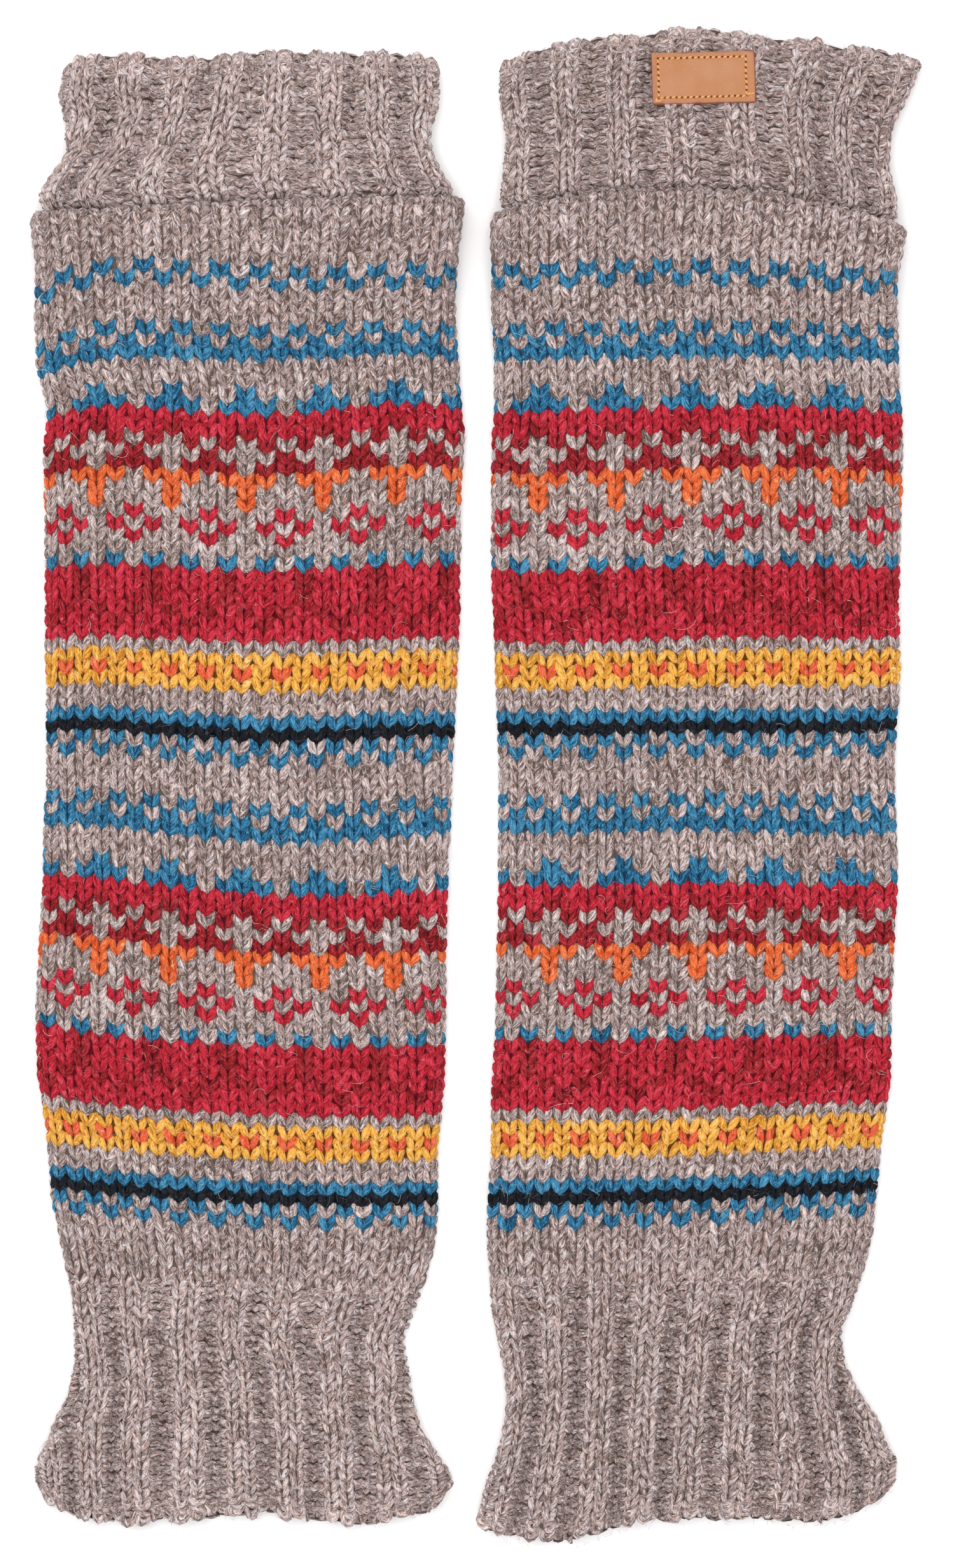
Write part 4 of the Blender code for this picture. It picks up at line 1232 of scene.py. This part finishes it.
# Stray hairs. Fibres that work loose from the yarn: a short nap in the colour of the stitch below,
# longer, paler ones that curl over the stitches and stand out along the edges, and a few flecks of
# dyed wool that were spun in by chance.
hair_wool, tree, shader = new_material("loose_hair")
shade_of_hair = add_node(tree, "ShaderNodeAttribute", attribute_name="tone")
dye_of_hair = add_node(tree, "ShaderNodeAttribute", attribute_name="dye_and_shade")
hair_colour = add_node(tree, "ShaderNodeVectorMath", {
    0: dye_of_hair, "Scale": shade_of_hair.outputs["Fac"]}, operation="SCALE")
set_inputs(tree, shader, {"Base Color": hair_colour, "Roughness": 0.6, "Sheen Weight": 0.3})

HAIR_DYES = {
    "G": "#C9BDB7", "B": "#4C8DB6", "R": "#CB5263", "D": "#B0424E", "O": "#E2825A", "C": "#DA7E62",
    "M": "#E8C47C", "K": "#50545C",
}
PALE_HAIR = "#EFE7E1"
# Kinds of hair: points along each, its thickness, its shortest length, the scale of the rest of its
# length, how much it curls, how high it stands and the share of hairs that are pale.
HairKind = namedtuple("HairKind", "stations radius shortest longer curl lift pale")
NAP = HairKind(3, 0.07, 0.9, 0.6, 0.9, 0.75, 0.03)
CURLS = HairKind(6, 0.05, 2.0, 1.6, 1.7, 1.3, 0.4)
FLECKS = HairKind(4, 0.2, 1.4, 0.4, 0.8, 0.5, 0.0)
FLECK_COLOURS = ("#C47A7F", "#C98A6C", "#B98A94")
# Hairs grow on the upper side and the edges, away from a cloth's first and last rows, and from a
# little inside the yarn. Each is a thin strand with three sides.
SEEN_FROM_ABOVE = -0.3
HAIRLESS_ROWS = 2
HAIR_ROOT = -0.25
USUAL_COLUMN = 5.5
LENGTH_SPREAD = 1.5
LOWEST_ARCH = 0.2
SHORTEST_ARCH = 0.5
TIP_RISE = 0.4
TIP_THICKNESS = 0.5
STRAND_SIDES = 3
HAIR_TONES = (0.6, 1.05)


def hair_paths(cloth, kind, count, rng):
    """The paths of loose hairs on a cloth's upper side, and the stitches that they grow from."""
    column = rng.uniform(0, cloth.stitches, (count, 1)) + cloth.first_column
    last_row = cloth.first_row + len(cloth.points) / ROW_STEPS
    row = rng.uniform(cloth.first_row + HAIRLESS_ROWS, last_row - HAIRLESS_ROWS, (count, 1))
    seen = on_cloth(cloth, column, row)[1][:, 0, 2] > SEEN_FROM_ABOVE
    column, row = column[seen], row[seen]
    count = len(row)
    length = kind.shortest + rng.gamma(LENGTH_SPREAD, kind.longer, (count, 1))
    time = np.linspace(0, 1, kind.stations)[None]
    heading = rng.uniform(0, 2 * pi, (count, 1)) + rng.normal(0, kind.curl, (count, 1)) * time
    step = length / (kind.stations - 1)
    across = np.cumsum(np.cos(heading) * step, axis=1) / USUAL_COLUMN
    down = np.cumsum(np.sin(heading) * step, axis=1) / BODY_PITCH
    rise = kind.lift * rng.uniform(LOWEST_ARCH, 1.0, (count, 1))
    arch = np.sin(time * pi * rng.uniform(SHORTEST_ARCH, 1.0, (count, 1))) + TIP_RISE * time
    base, outward = on_cloth(cloth, column + across, row + down)
    points = base + outward * (HAIR_ROOT + rise * arch)[..., None]
    points[..., 2] = np.maximum(points[..., 2], RESTING_HEIGHT + kind.radius)
    return points, outward, column[:, 0], row[:, 0]


def hair_strands(path, outward, kind):
    """Thin three-sided strands along paths, thinner at their tips: their points and faces."""
    heading = np.gradient(path, axis=1)
    heading /= np.linalg.norm(heading, axis=-1, keepdims=True)
    sideways = np.cross(heading, outward)
    sideways /= np.linalg.norm(sideways, axis=-1, keepdims=True)
    upwards = np.cross(sideways, heading)
    thin = kind.radius * np.linspace(1.0, TIP_THICKNESS, kind.stations)[None, :, None, None]
    turn = (np.arange(STRAND_SIDES) * 2 * pi / STRAND_SIDES)[:, None]
    ring = sideways[:, :, None] * np.cos(turn) + upwards[:, :, None] * np.sin(turn)
    points = (path[:, :, None] + ring * thin).reshape(-1, 3)
    hair, station, side = np.meshgrid(
        np.arange(len(path)), np.arange(kind.stations - 1), np.arange(STRAND_SIDES), indexing="ij")
    this = (hair * kind.stations + station) * STRAND_SIDES
    following, beside = this + STRAND_SIDES, (side + 1) % STRAND_SIDES
    faces = np.stack([this + side, this + beside, following + beside, following + side], axis=-1)
    return points, faces.reshape(-1, 4)


def loose_hairs(name, cloths, seed):
    """All loose hairs of a leg, from its cloths, the yarn of each stitch and the hairs of each kind."""
    rng = np.random.default_rng(seed)
    strands, colours, tones = [], [], []
    for cloth, letter_of, counts in cloths:
        for kind, count in zip((NAP, CURLS, FLECKS), counts):
            path, outward, column, row = hair_paths(cloth, kind, count, rng)
            strands.append(hair_strands(path, outward, kind))
            points_each = kind.stations * STRAND_SIDES
            pale = rng.uniform(size=len(row)) < kind.pale
            for hair_row, hair_column, is_pale in zip(row, column, pale):
                letter = letter_of(round(hair_row), int(hair_column // 1))
                dye_and_shade = PALE_HAIR if is_pale else HAIR_DYES[letter]
                if kind is FLECKS:
                    dye_and_shade = rng.choice(FLECK_COLOURS)
                colours.extend([linear(dye_and_shade)] * points_each)
            tones.append(np.repeat(rng.uniform(*HAIR_TONES, len(row)), points_each))
    points, faces = joined(strands)
    hairs = to_mesh(name, in_frame(points), faces, hair_wool)
    keep_tone(hairs, np.concatenate(tones))
    keep_point_colours(hairs, colours)
    return hairs


left_hairs = loose_hairs("left_loose_hairs", [
    (left_body_cloth, band_yarn, (5600, 1100, 6)), (left_top_cloth, plain_dye, (1100, 200, 6)),
    (left_bottom_cloth, plain_dye, (1500, 320, 14))], 31)
right_hairs = loose_hairs("right_loose_hairs", [
    (right_body_cloth, band_yarn, (5600, 1100, 6)), (right_top_cloth, plain_dye, (1100, 200, 6)),
    (right_bottom_cloth, plain_dye, (1500, 320, 14))], 32)

# The label. A tag of tan leather, bare on its face, over a darker layer that shows a little past
# its lower and right edges. A pressed line of thread holds the two together.
LABEL_SIZE = (36.3, 18.2)
FACE_THICKNESS = 0.9
BACK_THICKNESS = 0.6
BACK_SHIFT = (0.35, -0.4)
LABEL_THICKNESS = FACE_THICKNESS + BACK_THICKNESS
LABEL_TURN = radians(1.5)
LABEL_CORNER = 0.5
SEAM = (-15.9, 15.1, -6.9, 7.1)
SEAM_PITCH = 2.03
# Its form: how deep and wide the seam is pressed, how much its ends curl up and its face waves,
# and how softly its edges are cut. FAR_OFF ends the pressed lines at the seam's corners.
PRESSED_DEPTH = 0.25
PRESSED_WIDTH = 0.6
END_CURL = 0.35
FACE_WAVE = 0.1
SOFT_EDGE = 0.22
FAR_OFF = 9


def leather_material(name, edge_colour, rim_colour, inner_colour, face_colour, golden_colour):
    """Leather whose colour runs from its cut edge to its face, with golden patches and pores."""
    material, tree, shader = new_material(name)
    label_map = add_node(tree, "ShaderNodeUVMap", uv_map="label")
    along = add_node(tree, "ShaderNodeSeparateXYZ", {"Vector": label_map})
    gaps = {}
    for k, size in enumerate(LABEL_SIZE):
        off = add_node(tree, "ShaderNodeMath", {0: along.outputs[k]}, operation="ABSOLUTE")
        gaps[k] = add_node(tree, "ShaderNodeMath", {0: size / 2, 1: off}, operation="SUBTRACT")
    gap = add_node(tree, "ShaderNodeMath", gaps, operation="MINIMUM")
    clouds = add_node(tree, "ShaderNodeTexNoise", {
        "Vector": label_map, "Scale": 0.16, "Detail": 3.0, "Roughness": 0.6})
    worn = add_node(tree, "ShaderNodeMath", {0: clouds, 1: 2.4, 2: -1.1}, operation="MULTIPLY_ADD")
    edge = add_node(tree, "ShaderNodeMath", {0: gap, 1: worn}, operation="ADD")
    tan = add_node(tree, "ShaderNodeMapRange", {"Value": edge, "From Min": 0.0, "From Max": 3.6})
    ramp = add_node(tree, "ShaderNodeValToRGB", {"Fac": tan})
    set_ramp(ramp, {0: edge_colour, 0.12: rim_colour, 0.45: inner_colour, 1: face_colour})
    patches = add_node(tree, "ShaderNodeTexNoise", {
        "Vector": label_map, "Scale": 0.09, "Detail": 2.0})
    golden = add_node(tree, "ShaderNodeMapRange", {
        "Value": patches, "From Min": 0.42, "From Max": 0.62, "To Max": 0.8})
    face = add_node(tree, "ShaderNodeMix", {
        "Factor": golden, "A": ramp, "B": linear(golden_colour)}, data_type="RGBA")
    pores = add_node(tree, "ShaderNodeTexNoise", {
        "Vector": label_map, "Scale": 2.4, "Detail": 5.0, "Roughness": 0.7})
    dust = add_node(tree, "ShaderNodeMapRange", {
        "Value": pores, "From Min": 0.35, "From Max": 0.65, "To Min": 0.86, "To Max": 1.1})
    tinted = add_node(tree, "ShaderNodeVectorMath", {
        0: face.outputs[2], "Scale": dust}, operation="SCALE")
    dents = add_node(tree, "ShaderNodeBump", {
        "Height": pores, "Strength": 0.45, "Distance": 0.2 * MM})
    set_inputs(tree, shader, {"Base Color": tinted, "Normal": dents, "Roughness": 0.5})
    return material


def off_lines(value, lines, other, ends):
    """How far places are from the nearer of two lines of the seam, or far off past their ends."""
    past = (other < ends[0]) | (other > ends[1])
    return np.minimum(abs(value - lines[0]), abs(value - lines[1])) + np.where(past, FAR_OFF, 0)


def label_place(x, y, rise):
    """A point of the label's face, in the frame's metres: x and y from its centre, then a rise."""
    seam = np.minimum(off_lines(x, SEAM[:2], y, SEAM[2:]), off_lines(y, SEAM[2:], x, SEAM[:2]))
    pressed = PRESSED_DEPTH * np.exp(-(seam / PRESSED_WIDTH)**2)
    curl = END_CURL * (x / LABEL_SIZE[0] * 2)**4 - FACE_WAVE * np.cos(x * 0.9)
    lean = (label_high.z - label_low.z) / MM - LABEL_THICKNESS
    z = label_low.z / MM + LABEL_THICKNESS + lean * (0.5 - y / LABEL_SIZE[1]) + curl - pressed + rise
    turned_x = x * cos(LABEL_TURN) - y * sin(LABEL_TURN)
    turned_y = x * sin(LABEL_TURN) + y * cos(LABEL_TURN)
    centre = np.array(LABEL_CENTRE) + ORIGIN[:2]
    return np.stack([turned_x + centre[0], turned_y + centre[1], z + 0 * x], axis=-1) * MM


def leather_layer(name, cell, shift, rise, thickness, material):
    """One layer of the label, moved by shift, its corners rounded and its edges softened."""
    columns, rows = round(LABEL_SIZE[0] / cell), round(LABEL_SIZE[1] / cell)
    bpy.ops.mesh.primitive_grid_add(x_subdivisions=columns, y_subdivisions=rows, size=1.0)
    layer = bpy.context.object
    layer.name = name
    flat = (np.array([vertex.co for vertex in layer.data.vertices]) * (*LABEL_SIZE, 1.0))[:, :2]
    past = np.maximum(abs(flat) - (np.array(LABEL_SIZE) / 2 - LABEL_CORNER), 0)
    reach = np.linalg.norm(past, axis=1, keepdims=True)
    pull = np.where(reach > 0, np.minimum(LABEL_CORNER / np.maximum(reach, 1e-6), 1), 1)
    rounded = flat - np.sign(flat) * past * (1 - pull)
    places = label_place(rounded[:, 0] + shift[0], rounded[:, 1] + shift[1], rise)
    layer.data.vertices.foreach_set("co", places.ravel())
    surface_map = layer.data.uv_layers.new(name="label")
    loops = np.array([loop.vertex_index for loop in layer.data.loops])
    surface_map.data.foreach_set("uv", rounded[loops].ravel())
    layer.data.materials.append(material)
    solid = layer.modifiers.new("thickness", "SOLIDIFY")
    solid.thickness = thickness * MM
    solid.offset = -1.0
    softened = layer.modifiers.new("softened", "BEVEL")
    softened.width = SOFT_EDGE * MM
    softened.segments = 3
    softened.angle_limit = radians(60)
    for modifier in list(layer.modifiers):
        bpy.ops.object.modifier_apply(modifier=modifier.name)
    layer.data.shade_smooth()
    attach(layer, "root")
    return layer


face_leather = leather_material("tan_leather", "#7A3C24", "#9C6146", "#A66E48", "#A67048", "#A2683A")
back_leather = leather_material("dark_leather", "#6A3024", "#8A4A3A", "#8A4A3A", "#8A4A3A", "#84442E")
label = leather_layer("leather_label", 0.6, (0.0, 0.0), 0.0, FACE_THICKNESS, face_leather)
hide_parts("label")
leather_layer("label_backing", 1.2, BACK_SHIFT, -FACE_THICKNESS - 0.02, BACK_THICKNESS, back_leather)

# Its thread. Golden stitches slant over the pressed line, with a hole between each and the next,
# drawn as a flat dot of dark brown painted shade. The thread's ends are tacked down at the lower
# corners.
thread, tree, shader = new_material("golden_thread")
twist = add_node(tree, "ShaderNodeTexCoord")
strands = add_node(tree, "ShaderNodeTexNoise", {
    "Vector": twist.outputs["Object"], "Scale": 3000.0, "Detail": 2.0})
ramp = add_node(tree, "ShaderNodeValToRGB", {"Fac": strands})
set_ramp(ramp, {0: "#B4742F", 1: "#E2AC68"})
set_inputs(tree, shader, {"Base Color": ramp, "Roughness": 0.5})
# A needle hole is a flat dark dot on the face: painted shade of the hole.
hole, tree, shader = new_material("needle_hole")
painted_hole_shade = add_node(tree, "ShaderNodeTexNoise", {"Scale": 2000.0})
ramp = add_node(tree, "ShaderNodeValToRGB", {"Fac": painted_hole_shade})
set_ramp(ramp, {0: "#4A2008", 1: "#6E3410"})
set_inputs(tree, shader, {"Base Color": ramp, "Roughness": 0.9})

THREAD_PATH = [
    (-0.5, -0.1, -0.14, 0.1, 0.12), (-0.3, -0.08, 0.04, 0.16, 0.2), (0.0, 0.0, 0.1, 0.18, 0.24),
    (0.3, 0.08, 0.04, 0.16, 0.2), (0.5, 0.1, -0.14, 0.1, 0.12),
]
THREAD_SHARE = 0.7
THREAD_UNEVEN = 0.06
HOLE_HALF_LENGTH = 0.5
HOLE_HALF_WIDTH = 0.42
stitch = yarn_shape(THREAD_PATH, 4, 4, (SEAM_PITCH, SEAM_PITCH))
bpy.ops.mesh.primitive_circle_add(vertices=10, radius=1.0, fill_type="TRIFAN")
dot_points, dot_faces = take_shape()


def thread_stitch(middle, heading, beside, rise):
    """A stitch of thread on the label's face: its points and faces."""
    flat = middle + SEAM_PITCH * (
        stitch.points[:, :1] * THREAD_SHARE * heading + stitch.points[:, 1:2] * beside)
    return label_place(flat[:, 0], flat[:, 1], stitch.points[:, 2] + rise), stitch.faces


rng = np.random.default_rng(41)
left, right, low, high = SEAM
corners = np.array([(left, high), (right, high), (right, low), (left, low)])
stitches, dots = [], []
for start, end in zip(corners, np.roll(corners, -1, axis=0)):
    heading = (end - start) / np.linalg.norm(end - start)
    beside = np.array([-heading[1], heading[0]])
    count = round(np.linalg.norm(end - start) / SEAM_PITCH)
    for k in range(count):
        off_line = beside * rng.normal(0, THREAD_UNEVEN)
        middle = start + (end - start) * (k + 0.5) / count + off_line
        stitches.append(thread_stitch(middle, heading, beside, 0.03))
        pierced = start + (end - start) * k / count + rng.normal(0, THREAD_UNEVEN, 2)
        flat = pierced + dot_points[:, :1] * HOLE_HALF_LENGTH * heading
        flat = flat + dot_points[:, 1:2] * HOLE_HALF_WIDTH * beside
        dots.append((label_place(flat[:, 0], flat[:, 1], 0.05), dot_faces))

# Tacks: each is a stitch's middle and the way it lies.
TACKS = [
    (-16.8, -7.6, 0.9), (-16.3, -8.0, -0.6), (-15.4, -7.9, 0.2), (16.0, -6.3, 0.15),
    (17.2, -6.2, -0.1),
]
for x, y, way in TACKS:
    heading, beside = np.array([cos(way), sin(way)]), np.array([-sin(way), cos(way)])
    stitches.append(thread_stitch((x, y), heading, beside, 0.05))

for name, parts, material in (("label_thread", stitches, thread), ("label_holes", dots, hole)):
    piece = to_mesh(name, *joined(parts), material)
